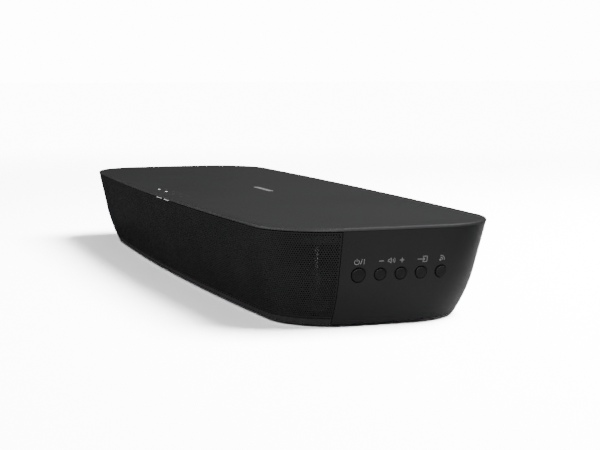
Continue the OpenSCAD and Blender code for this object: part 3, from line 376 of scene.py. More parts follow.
def finish(name, light, dark, roughness, spread=0.1, metallic=0.0, grain=2500, patch=25, bump=0.15,
           depth=0.00005, brushed=None, coat=0.0, specular=0.5):
    """A material: a skin of two close colours with grain, and hairlines where it is brushed."""
    material = bpy.data.materials.new(name)
    material.use_nodes = True
    tree = material.node_tree
    shader = tree.nodes["Principled BSDF"]
    place = tree.nodes.new("ShaderNodeTexCoord")
    skin = tree.nodes.new("ShaderNodeGroup")
    skin.node_tree = surface_group
    tree.links.new(place.outputs["Object"], skin.inputs["Vector"])
    skin.inputs["Light Colour"].default_value = (*light, 1)
    skin.inputs["Dark Colour"].default_value = (*dark, 1)
    skin.inputs["Roughness"].default_value = roughness
    skin.inputs["Roughness Spread"].default_value = spread
    skin.inputs["Grain Scale"].default_value = grain
    skin.inputs["Patch Scale"].default_value = patch
    tree.links.new(skin.outputs["Colour"], shader.inputs["Base Color"])
    tree.links.new(skin.outputs["Roughness"], shader.inputs["Roughness"])
    bumps = tree.nodes.new("ShaderNodeBump")
    bumps.inputs["Strength"].default_value = bump
    bumps.inputs["Distance"].default_value = depth
    height = skin.outputs["Height"]
    if brushed:
        hair = tree.nodes.new("ShaderNodeGroup")
        hair.node_tree = hairline_group
        tree.links.new(place.outputs["Object"], hair.inputs["Vector"])
        hair.inputs["Stretch"].default_value = brushed
        height = math_node(tree, "ADD", skin.outputs["Height"], hair.outputs["Height"])
    tree.links.new(height, bumps.inputs["Height"])
    tree.links.new(bumps.outputs["Normal"], shader.inputs["Normal"])
    shader.inputs["Metallic"].default_value = metallic
    shader.inputs["Coat Weight"].default_value = coat
    shader.inputs["Specular IOR Level"].default_value = specular
    return material


def refinish(node, material):
    """Gives a carried-over solid its finish."""
    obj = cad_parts[node]
    if not obj.data.materials:
        obj.data.materials.append(material)
    for place in range(len(obj.data.materials)):
        obj.data.materials[place] = material


# ---------------------------------------------------------------------------------------------
# Top cover: an injection-moulded plate in charcoal with a fine matt grain. Its upper edge is
# rounded and its thin border just overhangs the sides; it carries the badge and the indicator lights.
# ---------------------------------------------------------------------------------------------
EDGE_R = 1.2
PLATE_TOP = TOP_T - 0.05
edge_levels = [(0.9, 0.0), (0.35, 0.0), (0.12, 0.08), (0.02, 0.22), (0.0, 0.4)]
edge_levels += [(EDGE_R * (1 - math.cos(a)), PLATE_TOP - EDGE_R * (1 - math.sin(a)))
                for a in np.linspace(0, math.pi / 2, 9)]
edge_levels.append((EDGE_R + 1.2, PLATE_TOP))
points, faces = lofted([at_level(whole_outline(i), UNDER_Z + h) for i, h in edge_levels])
top_plate = new_piece("top_cover_plate", points, faces, sharp=28)
top_finish = finish("charcoal_grain", (0.046, 0.046, 0.047), (0.037, 0.037, 0.038), 0.52, 0.08,
                    grain=2600, patch=14, bump=0.35, depth=0.00004, specular=0.3)
top_plate.data.materials.append(top_finish)
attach(top_plate, "cabinet")
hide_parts("top_cover")

# ---------------------------------------------------------------------------------------------
# Cabinet shell: both ends and the rear in one black moulding, with bores for the buttons, an
# opening for the terminal bay and two pockets where the wall hangers sit.
# ---------------------------------------------------------------------------------------------
WALL_T = 2.5
BUTTON_Z = 27.4
BUTTONS = [("power", -17.7, 3.8), ("volume_down", -6.1, 3.2), ("volume_up", 4.9, 3.2),
           ("input", 15.9, 3.2), ("pairing", 26.9, 3.2)]
SHELL_FOOT = 3.0


def end_surface(y, z):
    """How far out the right-hand end's skin is at a place, in millimetres."""
    inset = float(inset_at(np.float64(UNDER_Z - z)))
    a, b, r = case_sizes(inset, 0.0, REAR_BOW, REAR_R)
    cy = b - r
    x = a if y <= cy else a - r + math.sqrt(max(0, r * r - (y - cy) ** 2))
    return x + END_BOW * (1 - (y / b) ** 2) * (x / a) ** 4


def rear_wall(outside, top_gap, foot_gap, levels=44, columns=250):
    depths = top_gap + (WALL_H - top_gap - foot_gap) * np.sin(np.linspace(0, math.pi / 2, levels))
    rows = []
    u = np.linspace(1, -1, columns)
    for depth in depths:
        x, y = rear_point(u, inset_at(depth), 0.0 if outside else WALL_T)
        rows.append(np.column_stack([x, y, np.full(len(x), UNDER_Z - depth)]))
    return rows


def sheet_solid(outer, inner):
    """A wall between two skins of one grid, closed along its four edges."""
    n, m = len(outer[0]), len(outer)
    points = np.concatenate(outer + inner)
    half = n * m
    faces = []
    for j in range(m - 1):
        for i in range(n - 1):
            a = j * n + i
            faces.append((a, a + 1, a + n + 1, a + n))
            faces.append((half + a, half + a + n, half + a + n + 1, half + a + 1))
    for i in range(n - 1):
        b = (m - 1) * n + i
        faces.append((i, half + i, half + i + 1, i + 1))
        faces.append((b, b + 1, half + b + 1, half + b))
    for j in range(m - 1):
        a, b = j * n, j * n + n - 1
        faces.append((a, a + n, half + a + n, half + a))
        faces.append((b, half + b, half + b + n, b + n))
    return points, faces


def cut_with(piece, cutter, operation="DIFFERENCE"):
    step = piece.modifiers.new("cut", "BOOLEAN")
    step.operation = operation
    step.solver = "EXACT"
    step.object = cutter
    bpy.context.view_layer.update()
    shaped = bpy.data.meshes.new_from_object(piece.evaluated_get(bpy.context.evaluated_depsgraph_get()))
    piece.modifiers.remove(step)
    old = piece.data
    piece.data = shaped
    bpy.data.meshes.remove(old)
    bpy.data.objects.remove(cutter)


def turned(name, profile, steps, axis_point, axis="x"):
    """A closed solid of revolution; the profile gives (distance along the axis, radius)."""
    rows = []
    for along, radius in profile:
        ring = []
        for k in range(steps):
            t = 2 * math.pi * k / steps
            c, s = radius * math.cos(t), radius * math.sin(t)
            ring.append({"x": (along, c, s), "y": (c, along, s), "z": (c, s, along)}[axis])
        rows.append(np.array(ring) + np.array(axis_point))
    points, faces = lofted(rows)
    return new_piece(name, points, faces)


def block(name, low, high):
    xs, ys, zs = zip(low, high)
    points = [(x, y, z) for x in xs for y in ys for z in zs]
    faces = [(0, 1, 3, 2), (4, 6, 7, 5), (0, 4, 5, 1), (2, 3, 7, 6), (0, 2, 6, 4), (1, 5, 7, 3)]
    return new_piece(name, points, faces)


TOP_GAP, FAR_OUT = 0.05, 90.0
shell_outside = rear_wall(True, TOP_GAP, -SHELL_FOOT)
shell_inside = rear_wall(False, TOP_GAP, -SHELL_FOOT)
cabinet = new_piece("cabinet_moulding", *sheet_solid(shell_outside, shell_inside))
POCKET_X, POCKET_W, POCKET_Z, POCKET_H, POCKET_WALL = 150.0, 24.0, 14.5, 26.0, 4.0
HANGER_Y = CASE_D / 2 - float(inset_at(np.float64(WALL_H))) - 4.7
for side in (-1, 1):
    half_block = POCKET_W / 2 + POCKET_WALL
    low_x, high_x = side * POCKET_X - half_block, side * POCKET_X + half_block
    outline = []
    for z in np.linspace(POCKET_Z - 2, POCKET_Z + POCKET_H + 2, 5):
        inset = float(inset_at(np.float64(UNDER_Z - z)))
        a, b, r = case_sizes(inset, 0.0, REAR_BOW, REAR_R)
        outline.append((b + REAR_BOW * (1 - ((POCKET_X + half_block) / a) ** 2) - WALL_T * 0.5, z))
    outline = [(HANGER_Y, outline[-1][1]), (HANGER_Y, outline[0][1])] + outline
    rows = [np.array([(x, y, z) for y, z in outline]) for x in (low_x, high_x)]
    cut_with(cabinet, new_piece("pocket_block", *lofted(rows)), "UNION")
    cut_with(cabinet, block("pocket_space", (side * POCKET_X - POCKET_W / 2, HANGER_Y - 2, POCKET_Z),
                            (side * POCKET_X + POCKET_W / 2, FAR_OUT, POCKET_Z + POCKET_H)))
BAY_W, BAY_Z, BAY_H, BAY_GAP, BAY_FRONT = 146.0, 9.5, 28.0, 0.3, 37.0
cut_with(cabinet, block("bay_space", (-BAY_W / 2 - BAY_GAP, BAY_FRONT, BAY_Z - BAY_GAP),
                        (BAY_W / 2 + BAY_GAP, FAR_OUT, BAY_Z + BAY_H + BAY_GAP)))
BORE_CHAMFER = 0.42
for name, y, bore in BUTTONS:
    skin = end_surface(y, BUTTON_Z)
    bore_profile = [(-12, bore), (-0.32, bore), (0.3, bore + BORE_CHAMFER), (6, bore + BORE_CHAMFER)]
    cut_with(cabinet, turned("bore", bore_profile, 64, (skin, y, BUTTON_Z)))
settle(cabinet, 32)
shell_finish = finish("black_fine_grain", (0.031, 0.031, 0.0315), (0.024, 0.024, 0.0245), 0.36,
                      0.07, grain=3200, patch=18, bump=0.22, depth=0.00003, specular=0.3)
cabinet.data.materials.clear()
cabinet.data.materials.append(shell_finish)
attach(cabinet, "cabinet")
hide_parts("cabinet_shell")

# ---------------------------------------------------------------------------------------------
# Button caps: black mouldings with a shallow dish in the face, a rounded rim, a wide flange that
# keeps them in the wall and a stem that reaches the switch. The five sit in one row.
# ---------------------------------------------------------------------------------------------
CAP_GAP, PROUD = 0.35, 0.35
DISH_DROP, RIM_R, SKIRT, STEM_R, CAP_STEPS = 0.28, 0.3, 2.0, 1.5, 56
FLANGE_FRONT, FLANGE_BACK = 3.0, 1.8
cap_finish = finish("cap_black", (0.020, 0.020, 0.021), (0.014, 0.014, 0.0145), 0.34, 0.08,
                    grain=3600, patch=60, bump=0.12, depth=0.00002, specular=0.35)
wall_tilt = (end_surface(0, BUTTON_Z + 3) - end_surface(0, BUTTON_Z - 3)) / 6
for name, y, bore in BUTTONS:
    lo, hi = (np.array(c) * 1000 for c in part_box("button_" + name))
    radius = bore - CAP_GAP
    wall_inset = float(inset_at(np.float64(UNDER_Z - BUTTON_Z)))
    face_x = CASE_W / 2 - wall_inset * END_RATIO - END_BOW * 0.08 + PROUD
    stem_x, flange_x, flange_back = lo[0], lo[0] + FLANGE_FRONT, lo[0] + FLANGE_BACK
    dish = [(r, -DISH_DROP * (1 - (r / (radius * 0.8)) ** 2)) for r in np.linspace(0.03, 0.8, 9) * radius]
    rim = [(radius - RIM_R + RIM_R * math.sin(t), -RIM_R * (1 - math.cos(t)))
           for t in np.linspace(0.15, math.pi / 2, 6)]
    rows = []
    for r, drop in dish + rim + [(radius, -SKIRT)]:
        ring = []
        for k in range(CAP_STEPS):
            t = 2 * math.pi * k / CAP_STEPS
            cy, cz = r * math.cos(t), r * math.sin(t)
            lean = wall_tilt * cz
            ring.append((face_x + lean + drop, y + cy, BUTTON_Z + cz))
        rows.append(np.array(ring))
    for x, r in ((flange_x, radius), (flange_x, (hi[1] - lo[1]) / 2), (flange_back, (hi[1] - lo[1]) / 2),
                 (flange_back, STEM_R), (stem_x, STEM_R)):
        turns = [2 * math.pi * k / CAP_STEPS for k in range(CAP_STEPS)]
        rows.append(np.array([(x, y + r * math.cos(t), BUTTON_Z + r * math.sin(t)) for t in turns]))
    cap = new_piece("cap_" + name, *lofted(rows), sharp=40)
    cap.data.materials.append(cap_finish)
    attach(cap, name + "_key")
    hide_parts("button_" + name)

# ---------------------------------------------------------------------------------------------
# Signs over the buttons: pale grey ink printed on the end panel. Generic drawings only: a power
# sign, minus and plus either side of a loudspeaker, an arrow into a bracket, and radio waves.
# ---------------------------------------------------------------------------------------------
ink = finish("pale_ink", (0.30, 0.30, 0.31), (0.24, 0.24, 0.25), 0.55, 0.1, grain=5000, patch=300,
             bump=0.1, depth=0.00001)


def arc_points(cy, cz, r, first, last, steps=18):
    return [(cy + r * math.cos(math.radians(first + (last - first) * k / steps)),
             cz + r * math.sin(math.radians(first + (last - first) * k / steps))) for k in range(steps + 1)]


def printed(name, strokes, surface, width=0.34, colour=ink):
    """Inked lines laid on a surface; each stroke is a run of (across, up) places."""
    points, faces = [], []
    for stroke in strokes:
        line = []
        for a, b in zip(stroke, stroke[1:]):
            parts = max(1, int(math.dist(a, b) / 0.5))
            line += [tuple(np.array(a) + (np.array(b) - np.array(a)) * k / parts) for k in range(parts)]
        line.append(stroke[-1])
        first = len(points)
        for k, p in enumerate(line):
            before, after = np.array(line[max(0, k - 1)]), np.array(line[min(len(line) - 1, k + 1)])
            run = (after - before) / max(1e-9, np.linalg.norm(after - before))
            across = np.array([-run[1], run[0]]) * width / 2
            for side, lift in ((1, 0.02), (-1, 0.02), (-1, -0.05), (1, -0.05)):
                q = np.array(p) + across * side
                points.append(surface(q[0], q[1], lift))
        for k in range(len(line) - 1):
            for e in range(4):
                a, b = first + 4 * k + e, first + 4 * k + (e + 1) % 4
                faces.append((a, b, b + 4, a + 4))
        faces.append((first, first + 3, first + 2, first + 1))
        last = first + 4 * (len(line) - 1)
        faces.append((last, last + 1, last + 2, last + 3))
    mark = new_piece(name, points, faces, sharp=20)
    mark.data.materials.append(colour)
    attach(mark, "cabinet")
    return mark


def on_end(y, z, lift):
    return (end_surface(y, z) + lift, y, z)


SIGN_Z = 34.4
power_y, minus_y, speaker_y, plus_y, input_y, radio_y = -17.7, -6.1, -0.6, 4.9, 15.9, 26.9
printed("sign_power", [arc_points(power_y - 1.4, SIGN_Z - 0.1, 1.25, 125, 415, 24),
                       [(power_y - 1.4, SIGN_Z), (power_y - 1.4, SIGN_Z + 1.5)],
                       [(power_y + 0.55, SIGN_Z - 1.3), (power_y + 1.35, SIGN_Z + 1.4)],
                       [(power_y + 2.4, SIGN_Z - 1.3), (power_y + 2.4, SIGN_Z + 1.4)]], on_end)
printed("sign_minus", [[(minus_y - 1.2, SIGN_Z), (minus_y + 1.2, SIGN_Z)]], on_end, 0.42)
printed("sign_plus", [[(plus_y - 1.2, SIGN_Z), (plus_y + 1.2, SIGN_Z)],
                      [(plus_y, SIGN_Z - 1.2), (plus_y, SIGN_Z + 1.2)]], on_end, 0.42)
printed("sign_loudness", [[(speaker_y - 2.0, SIGN_Z - 0.55), (speaker_y - 2.0, SIGN_Z + 0.55),
                           (speaker_y - 1.2, SIGN_Z + 0.55), (speaker_y - 0.3, SIGN_Z + 1.3),
                           (speaker_y - 0.3, SIGN_Z - 1.3), (speaker_y - 1.2, SIGN_Z - 0.55),
                           (speaker_y - 2.0, SIGN_Z - 0.55)],
                          arc_points(speaker_y - 0.2, SIGN_Z, 1.0, -42, 42, 8),
                          arc_points(speaker_y - 0.2, SIGN_Z, 1.9, -42, 42, 10)], on_end, 0.3)
bracket = [(input_y + 0.2, SIGN_Z + 1.4), (input_y + 2.6, SIGN_Z + 1.4),
           (input_y + 2.6, SIGN_Z - 1.4), (input_y + 0.2, SIGN_Z - 1.4)]
arrow_head = [(input_y + 0.3, SIGN_Z + 0.9), (input_y + 1.4, SIGN_Z), (input_y + 0.3, SIGN_Z - 0.9)]
printed("sign_input", [bracket, [(input_y - 2.6, SIGN_Z), (input_y + 1.4, SIGN_Z)], arrow_head], on_end)
printed("sign_radio", [arc_points(radio_y - 0.9, SIGN_Z - 0.9, 0.35, 0, 360, 12),
                       arc_points(radio_y - 0.9, SIGN_Z - 0.9, 1.3, -5, 95, 8),
                       arc_points(radio_y - 0.9, SIGN_Z - 0.9, 2.3, -5, 95, 10)], on_end, 0.36)

# ---------------------------------------------------------------------------------------------
# Front grille: thin steel punched all over with fine holes in staggered rows, bent round the
# front and both corners, and coated black. A plain hem runs round its four edges.
# ---------------------------------------------------------------------------------------------
PITCH, HOLE, SHEET_T = 1.25, 0.74, 0.8
GRILLE_TOP, GRILLE_FOOT, GRILLE_SEAM = 0.4, WALL_H - 0.4, SEAM_Y + 0.4
HALF_RUN, HEM = 241.0, 0.7
GRILLE_H = GRILLE_FOOT - GRILLE_TOP
grille_finish = finish("grille_coat", (0.029, 0.029, 0.0295), (0.020, 0.020, 0.0205), 0.32, 0.08,
                       metallic=0.0, grain=4000, patch=40, bump=0.2, depth=0.00002, specular=0.3)

cell_points, cell_faces = [], []
for level in (0.0, -SHEET_T):
    for size in (PITCH / math.sqrt(3), HOLE / 2 / math.cos(math.pi / 6) * 0.97):
        turns = [math.radians(30 + 60 * k) for k in range(6)]
        cell_points += [(size * math.cos(t), size * math.sin(t), level) for t in turns]
for k in range(6):
    n = (k + 1) % 6
    cell_faces += [(k, n, 6 + n, 6 + k), (6 + k, 6 + n, 18 + n, 18 + k), (18 + k, 18 + n, 12 + n, 12 + k)]
cell_mesh = bpy.data.meshes.new("punched_cell")
cell_mesh.from_pydata(cell_points, [], cell_faces)
punched_cell = bpy.data.objects.new("punched_cell", cell_mesh)
bpy.context.collection.objects.link(punched_cell)

sheet_tree = bpy.data.node_groups.new("punched_sheet", "GeometryNodeTree")
socket_ids = {}
for label, kind in (("Columns", "NodeSocketInt"), ("Rows", "NodeSocketInt"),
                    ("First Column", "NodeSocketInt"), ("Pitch", "NodeSocketFloat"),
                    ("Cell", "NodeSocketObject"), ("Finish", "NodeSocketMaterial")):
    socket = sheet_tree.interface.new_socket(name=label, in_out="INPUT", socket_type=kind)
    socket_ids[label] = socket.identifier
sheet_tree.interface.new_socket(name="Sheet", in_out="OUTPUT", socket_type="NodeSocketGeometry")
holes_in, sheet_out = sheet_tree.nodes.new("NodeGroupInput"), sheet_tree.nodes.new("NodeGroupOutput")
link = sheet_tree.links.new
count = math_node(sheet_tree, "MULTIPLY", holes_in.outputs["Columns"], holes_in.outputs["Rows"])
dots = sheet_tree.nodes.new("GeometryNodePoints")
link(count, dots.inputs["Count"])
index = sheet_tree.nodes.new("GeometryNodeInputIndex")
row = math_node(sheet_tree, "FLOOR", math_node(sheet_tree, "DIVIDE",
                math_node(sheet_tree, "ADD", index.outputs[0], 0.5), holes_in.outputs["Columns"]))
column = math_node(sheet_tree, "SUBTRACT", index.outputs[0],
                   math_node(sheet_tree, "MULTIPLY", row, holes_in.outputs["Columns"]))
column = math_node(sheet_tree, "ADD", column, holes_in.outputs["First Column"])
stagger = math_node(sheet_tree, "MULTIPLY", math_node(sheet_tree, "MODULO", row, 2.0), 0.5)
column = math_node(sheet_tree, "ADD", column, stagger)
place_x = math_node(sheet_tree, "MULTIPLY", column, holes_in.outputs["Pitch"])
place_y = math_node(sheet_tree, "MULTIPLY", math_node(sheet_tree, "MULTIPLY", row, math.sqrt(3) / 2),
                    holes_in.outputs["Pitch"])
place = sheet_tree.nodes.new("ShaderNodeCombineXYZ")
link(place_x, place.inputs["X"])
link(place_y, place.inputs["Y"])
spot = sheet_tree.nodes.new("GeometryNodeSetPosition")
link(dots.outputs[0], spot.inputs["Geometry"])
link(place.outputs[0], spot.inputs["Position"])
pattern = sheet_tree.nodes.new("GeometryNodeObjectInfo")
link(holes_in.outputs["Cell"], pattern.inputs["Object"])
copies = sheet_tree.nodes.new("GeometryNodeInstanceOnPoints")
link(spot.outputs[0], copies.inputs["Points"])
link(pattern.outputs["Geometry"], copies.inputs["Instance"])
solid = sheet_tree.nodes.new("GeometryNodeRealizeInstances")
link(copies.outputs[0], solid.inputs[0])
weld = sheet_tree.nodes.new("GeometryNodeMergeByDistance")
weld.inputs["Distance"].default_value = 0.001
link(solid.outputs[0], weld.inputs["Geometry"])
coat = sheet_tree.nodes.new("GeometryNodeSetMaterial")
link(weld.outputs[0], coat.inputs["Geometry"])
link(holes_in.outputs["Finish"], coat.inputs["Material"])
link(coat.outputs[0], sheet_out.inputs["Sheet"])


def bent(run, drop, inward):
    """Bends the flat sheet round the front: run along it, drop below its top edge, inward its thickness."""
    depth = GRILLE_TOP + drop
    x, y = front_point(run / HALF_RUN, inset_at(depth), inward, GRILLE_SEAM)
    return np.column_stack([x, y, UNDER_Z - depth])


rows_needed = int(GRILLE_H / (PITCH * math.sqrt(3) / 2)) + 2
columns_each = int(2 * HALF_RUN / PITCH / 4) + 1
for part in range(4):
    blank = bpy.data.meshes.new("grille_blank")
    sheet = bpy.data.objects.new("grille_sheet_%d" % (part + 1), blank)
    bpy.context.collection.objects.link(sheet)
    step = sheet.modifiers.new("punch", "NODES")
    step.node_group = sheet_tree
    step[socket_ids["Columns"]] = columns_each
    step[socket_ids["Rows"]] = rows_needed
    step[socket_ids["First Column"]] = part * columns_each
    step[socket_ids["Pitch"]] = PITCH
    step[socket_ids["Cell"]] = punched_cell
    step[socket_ids["Finish"]] = grille_finish
    bpy.context.view_layer.update()
    flat = bpy.data.meshes.new_from_object(sheet.evaluated_get(bpy.context.evaluated_depsgraph_get()))
    sheet.modifiers.remove(step)
    places = np.empty(len(flat.vertices) * 3)
    flat.vertices.foreach_get("co", places)
    places = places.reshape(-1, 3)
    corners = np.empty(len(flat.loops), dtype=np.int64)
    flat.loops.foreach_get("vertex_index", corners)
    corners = corners.reshape(-1, 4)
    run = np.clip(places[:, 0] - 2 * columns_each * PITCH, -HALF_RUN + HEM, HALF_RUN - HEM)
    drop = np.clip(places[:, 1], HEM, GRILLE_H - HEM)
    flat_spots = np.column_stack([run, drop, places[:, 2]])
    p, q, r, s = (flat_spots[corners[:, k]] for k in range(4))
    area = np.linalg.norm(np.cross(r - p, s - q), axis=1) / 2
    corners = corners[area > 1e-5]
    used, renumbered = np.unique(corners, return_inverse=True)
    spots = bent(run[used], drop[used], -places[used, 2]) * 0.001
    mesh = bpy.data.meshes.new("grille_sheet_%d" % (part + 1))
    mesh.from_pydata(spots.tolist(), [], renumbered.reshape(-1, 4)[:, ::-1].tolist())
    mesh.materials.append(grille_finish)
    mesh.shade_flat()
    sheet.data = mesh
    bpy.data.meshes.remove(flat)
    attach(sheet, "cabinet")
    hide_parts("front_grille")
bpy.data.objects.remove(punched_cell)

hem_points, hem_faces = [], []
edge_runs = np.linspace(-HALF_RUN, HALF_RUN, 420)


def hem_strip(runs, drops, along_run):
    """A closed strip of plain metal between two edges of the punched field."""
    first = len(hem_points)
    steps = len(runs) if along_run else len(drops)
    for k in range(steps):
        if along_run:
            section = [(runs[k], drops[0]), (runs[k], drops[1])]
        else:
            section = [(runs[0], drops[k]), (runs[1], drops[k])]
        for w, (u, v) in ((0.0, section[0]), (0.0, section[1]),
                          (SHEET_T, section[1]), (SHEET_T, section[0])):
            hem_points.append(bent(np.array([u]), np.array([v]), w)[0])
    for k in range(steps - 1):
        for e in range(4):
            a, b = first + 4 * k + e, first + 4 * k + (e + 1) % 4
            hem_faces.append((a, b, b + 4, a + 4))
    last = first + 4 * (steps - 1)
    hem_faces.append((first, first + 3, first + 2, first + 1))
    hem_faces.append((last, last + 1, last + 2, last + 3))


hem_strip(edge_runs, (0.0, HEM), True)
hem_strip(edge_runs, (GRILLE_H - HEM, GRILLE_H), True)
for low, high in ((-HALF_RUN, -HALF_RUN + HEM), (HALF_RUN - HEM, HALF_RUN)):
    hem_strip((low, high), np.linspace(HEM, GRILLE_H - HEM, 40), False)
grille_hem = new_piece("grille_hem", hem_points, hem_faces, sharp=40)
grille_hem.data.materials.append(grille_finish)
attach(grille_hem, "cabinet")

# ---------------------------------------------------------------------------------------------
# Indicator lights: clear plastic pipes that come up flush with the top, over small lamps on a
# board below. Two are lit, the others are off; a small printed tick stands behind each.
# ---------------------------------------------------------------------------------------------
lit = finish("lit_pipe", (0.9, 0.93, 0.95), (0.8, 0.84, 0.88), 0.25, 0.05, grain=4000, patch=400,
             bump=0.05, depth=0.00001)
lit_shader = lit.node_tree.nodes["Principled BSDF"]
lit_shader.inputs["Emission Color"].default_value = (0.95, 0.98, 1.0, 1)
lit_shader.inputs["Emission Strength"].default_value = 2.2
unlit = finish("unlit_pipe", (0.16, 0.16, 0.17), (0.11, 0.11, 0.12), 0.2, 0.05, grain=4000,
               patch=400, bump=0.05, depth=0.00001)
led_low, led_high = (np.array(c) * 1000 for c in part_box("led_lenses"))
led_y = (led_low[1] + led_high[1]) / 2
LED_X = [7.0 + 18.0 * (k - 1.5) for k in range(4)]
PIPE_R, PIPE_COLLAR_R = 0.9, 1.7
MARK_L, MARK_BACK, MARK_WIDTH = 7.0, 4.5, 0.7
for number, x in enumerate(LED_X):
    lens = turned("light_pipe_%d" % (number + 1),
                  [(led_low[2], PIPE_COLLAR_R), (UNDER_Z - 0.5, PIPE_COLLAR_R), (UNDER_Z - 0.5, PIPE_R),
                   (CASE_H - 0.08, PIPE_R), (CASE_H, PIPE_R - 0.1), (CASE_H, 0.05)], 32, (x, led_y, 0), "z")
    lens.data.materials.append(lit if number < 2 else unlit)
    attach(lens, "cabinet")
    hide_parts("led_lenses")


def on_top(x, y, lift):
    return (x, y, UNDER_Z + PLATE_TOP + lift)


faint_ink = finish("faint_ink", (0.085, 0.085, 0.087), (0.07, 0.07, 0.072), 0.55, 0.1, grain=5000,
                   patch=300, bump=0.1, depth=0.00001)
for number, x in enumerate(LED_X):
    dash = [(x - MARK_L / 2, led_y + MARK_BACK), (x + MARK_L / 2, led_y + MARK_BACK)]
    printed("light_mark_%d" % (number + 1), [dash], on_top, MARK_WIDTH, faint_ink)

# ---------------------------------------------------------------------------------------------
# Carried-over parts. The rest of the case, the works inside it and the fixings keep their shape
# and get the finish of what each is made of; the mouldings behind the grille are darker still, as painted
# shade.
# ---------------------------------------------------------------------------------------------
refinish("bottom_cover", finish("base_black", (0.040, 0.040, 0.041), (0.028, 0.028, 0.029), 0.46,
                                0.12, grain=1800, patch=22, bump=0.4, depth=0.00005))
refinish("terminal_panel", finish("panel_black", (0.030, 0.030, 0.031), (0.020, 0.020, 0.021), 0.5,
                                  0.1, grain=2000, patch=40, bump=0.35, depth=0.00004))
refinish("badge", finish("badge_satin", (0.46, 0.46, 0.47), (0.38, 0.38, 0.39), 0.35, 0.08,
                         grain=2500, patch=120, bump=0.05, depth=0.00001, brushed=(1, 30, 1)))
refinish("rubber_feet", finish("foot_rubber", (0.018, 0.018, 0.018), (0.010, 0.010, 0.010), 0.78,
                               0.12, grain=1400, patch=60, bump=0.6, depth=0.00006))
refinish("wall_hangers", finish("zinc_plate", (0.56, 0.57, 0.58), (0.42, 0.43, 0.45), 0.34, 0.16,
                                metallic=1.0, grain=700, patch=140, bump=0.1, depth=0.00002,
                                brushed=(1, 1, 20)))
screw_finish = finish("screw_plate", (0.34, 0.34, 0.36), (0.22, 0.22, 0.24), 0.34, 0.15,
                      metallic=1.0, grain=1600, patch=300, bump=0.15, depth=0.00002,
                      brushed=(1, 1, 12))
for name in ("case_screws", "driver_screws", "board_screws"):
    refinish(name, screw_finish)
# Black inner mouldings, coloured darker than the outer black plastic as painted shade, so that what shows
# through the grille holes reads dark.
inner_black_and_painted_shade = finish("inner_moulding", (0.016, 0.016, 0.017), (0.010, 0.010, 0.010), 0.6, 0.12,
                     grain=1500, patch=30, bump=0.4, depth=0.00005)
for name in ("grille_frame", "front_baffle", "speaker_box_left", "speaker_box_right"):
    refinish(name, inner_black_and_painted_shade)
basket_paint = finish("basket_paint", (0.030, 0.031, 0.033), (0.018, 0.019, 0.020), 0.42, 0.12,
                      grain=900, patch=60, bump=0.25, depth=0.00004)
rolled_rubber = finish("rolled_rubber", (0.022, 0.022, 0.022), (0.012, 0.012, 0.012), 0.5, 0.1,
                       grain=1800, patch=80, bump=0.3, depth=0.00004)
cone_paper = finish("cone_paper", (0.060, 0.060, 0.063), (0.034, 0.034, 0.036), 0.72, 0.12,
                    grain=900, patch=160, bump=0.7, depth=0.00012)
coil_wire = finish("coil_wire", (0.62, 0.30, 0.13), (0.45, 0.19, 0.07), 0.3, 0.1, metallic=1.0,
                   grain=1200, patch=200, bump=0.3, depth=0.00005, brushed=(1, 25, 1))
spider_cloth = finish("spider_cloth", (0.58, 0.42, 0.18), (0.40, 0.27, 0.10), 0.85, 0.1, grain=1300,
                      patch=200, bump=0.8, depth=0.00015)
ferrite = finish("ferrite", (0.050, 0.050, 0.053), (0.028, 0.028, 0.030), 0.55, 0.15, grain=700,
                 patch=120, bump=0.4, depth=0.00008)
pole_steel = finish("pole_steel", (0.50, 0.51, 0.53), (0.36, 0.37, 0.39), 0.36, 0.14, metallic=1.0,
                    grain=900, patch=150, bump=0.12, depth=0.00003, brushed=(1, 1, 1))
for side in ("left", "right"):
    refinish("driver_frame_" + side, basket_paint)
    refinish("surround_" + side, rolled_rubber)
    refinish("cone_" + side, cone_paper)
    refinish("dust_cap_" + side, cone_paper)
    refinish("voice_coil_" + side, coil_wire)
    refinish("spider_" + side, spider_cloth)
    refinish("magnet_" + side, ferrite)
    refinish("pole_pieces_" + side, pole_steel)
solder_mask = finish("solder_mask", (0.025, 0.16, 0.075), (0.015, 0.10, 0.045), 0.34, 0.14,
                     grain=500, patch=260, bump=0.3, depth=0.00005, coat=0.3)
for name in ("main_board", "button_board", "indicator_board"):
    refinish(name, solder_mask)
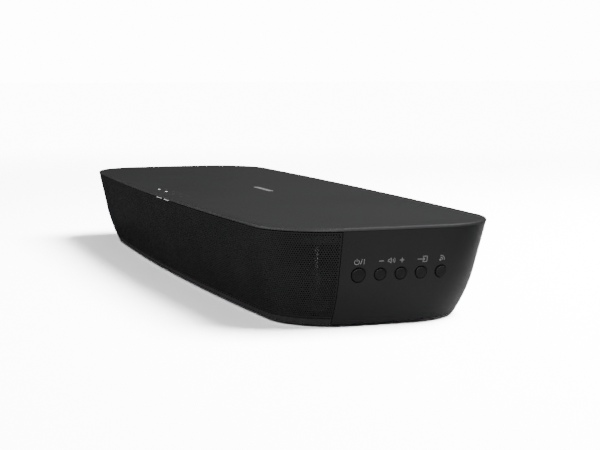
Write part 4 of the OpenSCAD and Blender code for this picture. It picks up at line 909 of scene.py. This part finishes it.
refinish("power_board", finish("phenolic", (0.42, 0.27, 0.11), (0.30, 0.18, 0.07), 0.5, 0.14,
                               grain=600, patch=220, bump=0.3, depth=0.00005))
package_black = finish("package_black", (0.030, 0.030, 0.031), (0.016, 0.016, 0.017), 0.5, 0.15,
                       grain=1500, patch=200, bump=0.35, depth=0.00005)
for name in ("board_components", "tact_switches", "ac_inlet", "optical_socket", "optical_shutter"):
    refinish(name, package_black)
refinish("ir_receiver", finish("receiver_lens", (0.045, 0.012, 0.016), (0.025, 0.006, 0.010), 0.15,
                               0.05, grain=2000, patch=300, bump=0.05, depth=0.00002))
refinish("power_components", finish("wrapped_winding", (0.66, 0.47, 0.10), (0.50, 0.33, 0.06), 0.42,
                                    0.15, grain=600, patch=200, bump=0.3, depth=0.00006))
tin = finish("tinned_shell", (0.62, 0.63, 0.64), (0.47, 0.48, 0.50), 0.28, 0.12, metallic=1.0,
             grain=900, patch=250, bump=0.12, depth=0.00002, brushed=(1, 18, 1))
for name in ("hdmi_socket", "usb_socket", "wireless_module"):
    refinish(name, tin)
refinish("inlet_pins", finish("nickel_pin", (0.74, 0.71, 0.60), (0.60, 0.57, 0.46), 0.2, 0.08,
                              metallic=1.0, grain=1200, patch=300, bump=0.08, depth=0.00002,
                              brushed=(1, 20, 1)))
refinish("heat_sink", finish("anodised", (0.52, 0.53, 0.55), (0.40, 0.41, 0.43), 0.4, 0.1,
                             metallic=1.0, grain=1200, patch=200, bump=0.1, depth=0.00002,
                             brushed=(1, 20, 1)))
plunger_white = finish("plunger_white", (0.75, 0.75, 0.73), (0.62, 0.62, 0.60), 0.45, 0.1,
                       grain=2000, patch=400, bump=0.15, depth=0.00002)
for name, y, bore in BUTTONS:
    refinish("plunger_" + name, plunger_white)
refinish("speaker_leads", finish("lead_insulation", (0.40, 0.04, 0.04), (0.28, 0.02, 0.02), 0.45,
                                 0.1, grain=1500, patch=300, bump=0.2, depth=0.00003))
refinish("flat_cables", finish("ribbon_film", (0.74, 0.74, 0.69), (0.60, 0.60, 0.56), 0.4, 0.1,
                               grain=900, patch=300, bump=0.2, depth=0.00003, brushed=(1, 1, 40)))
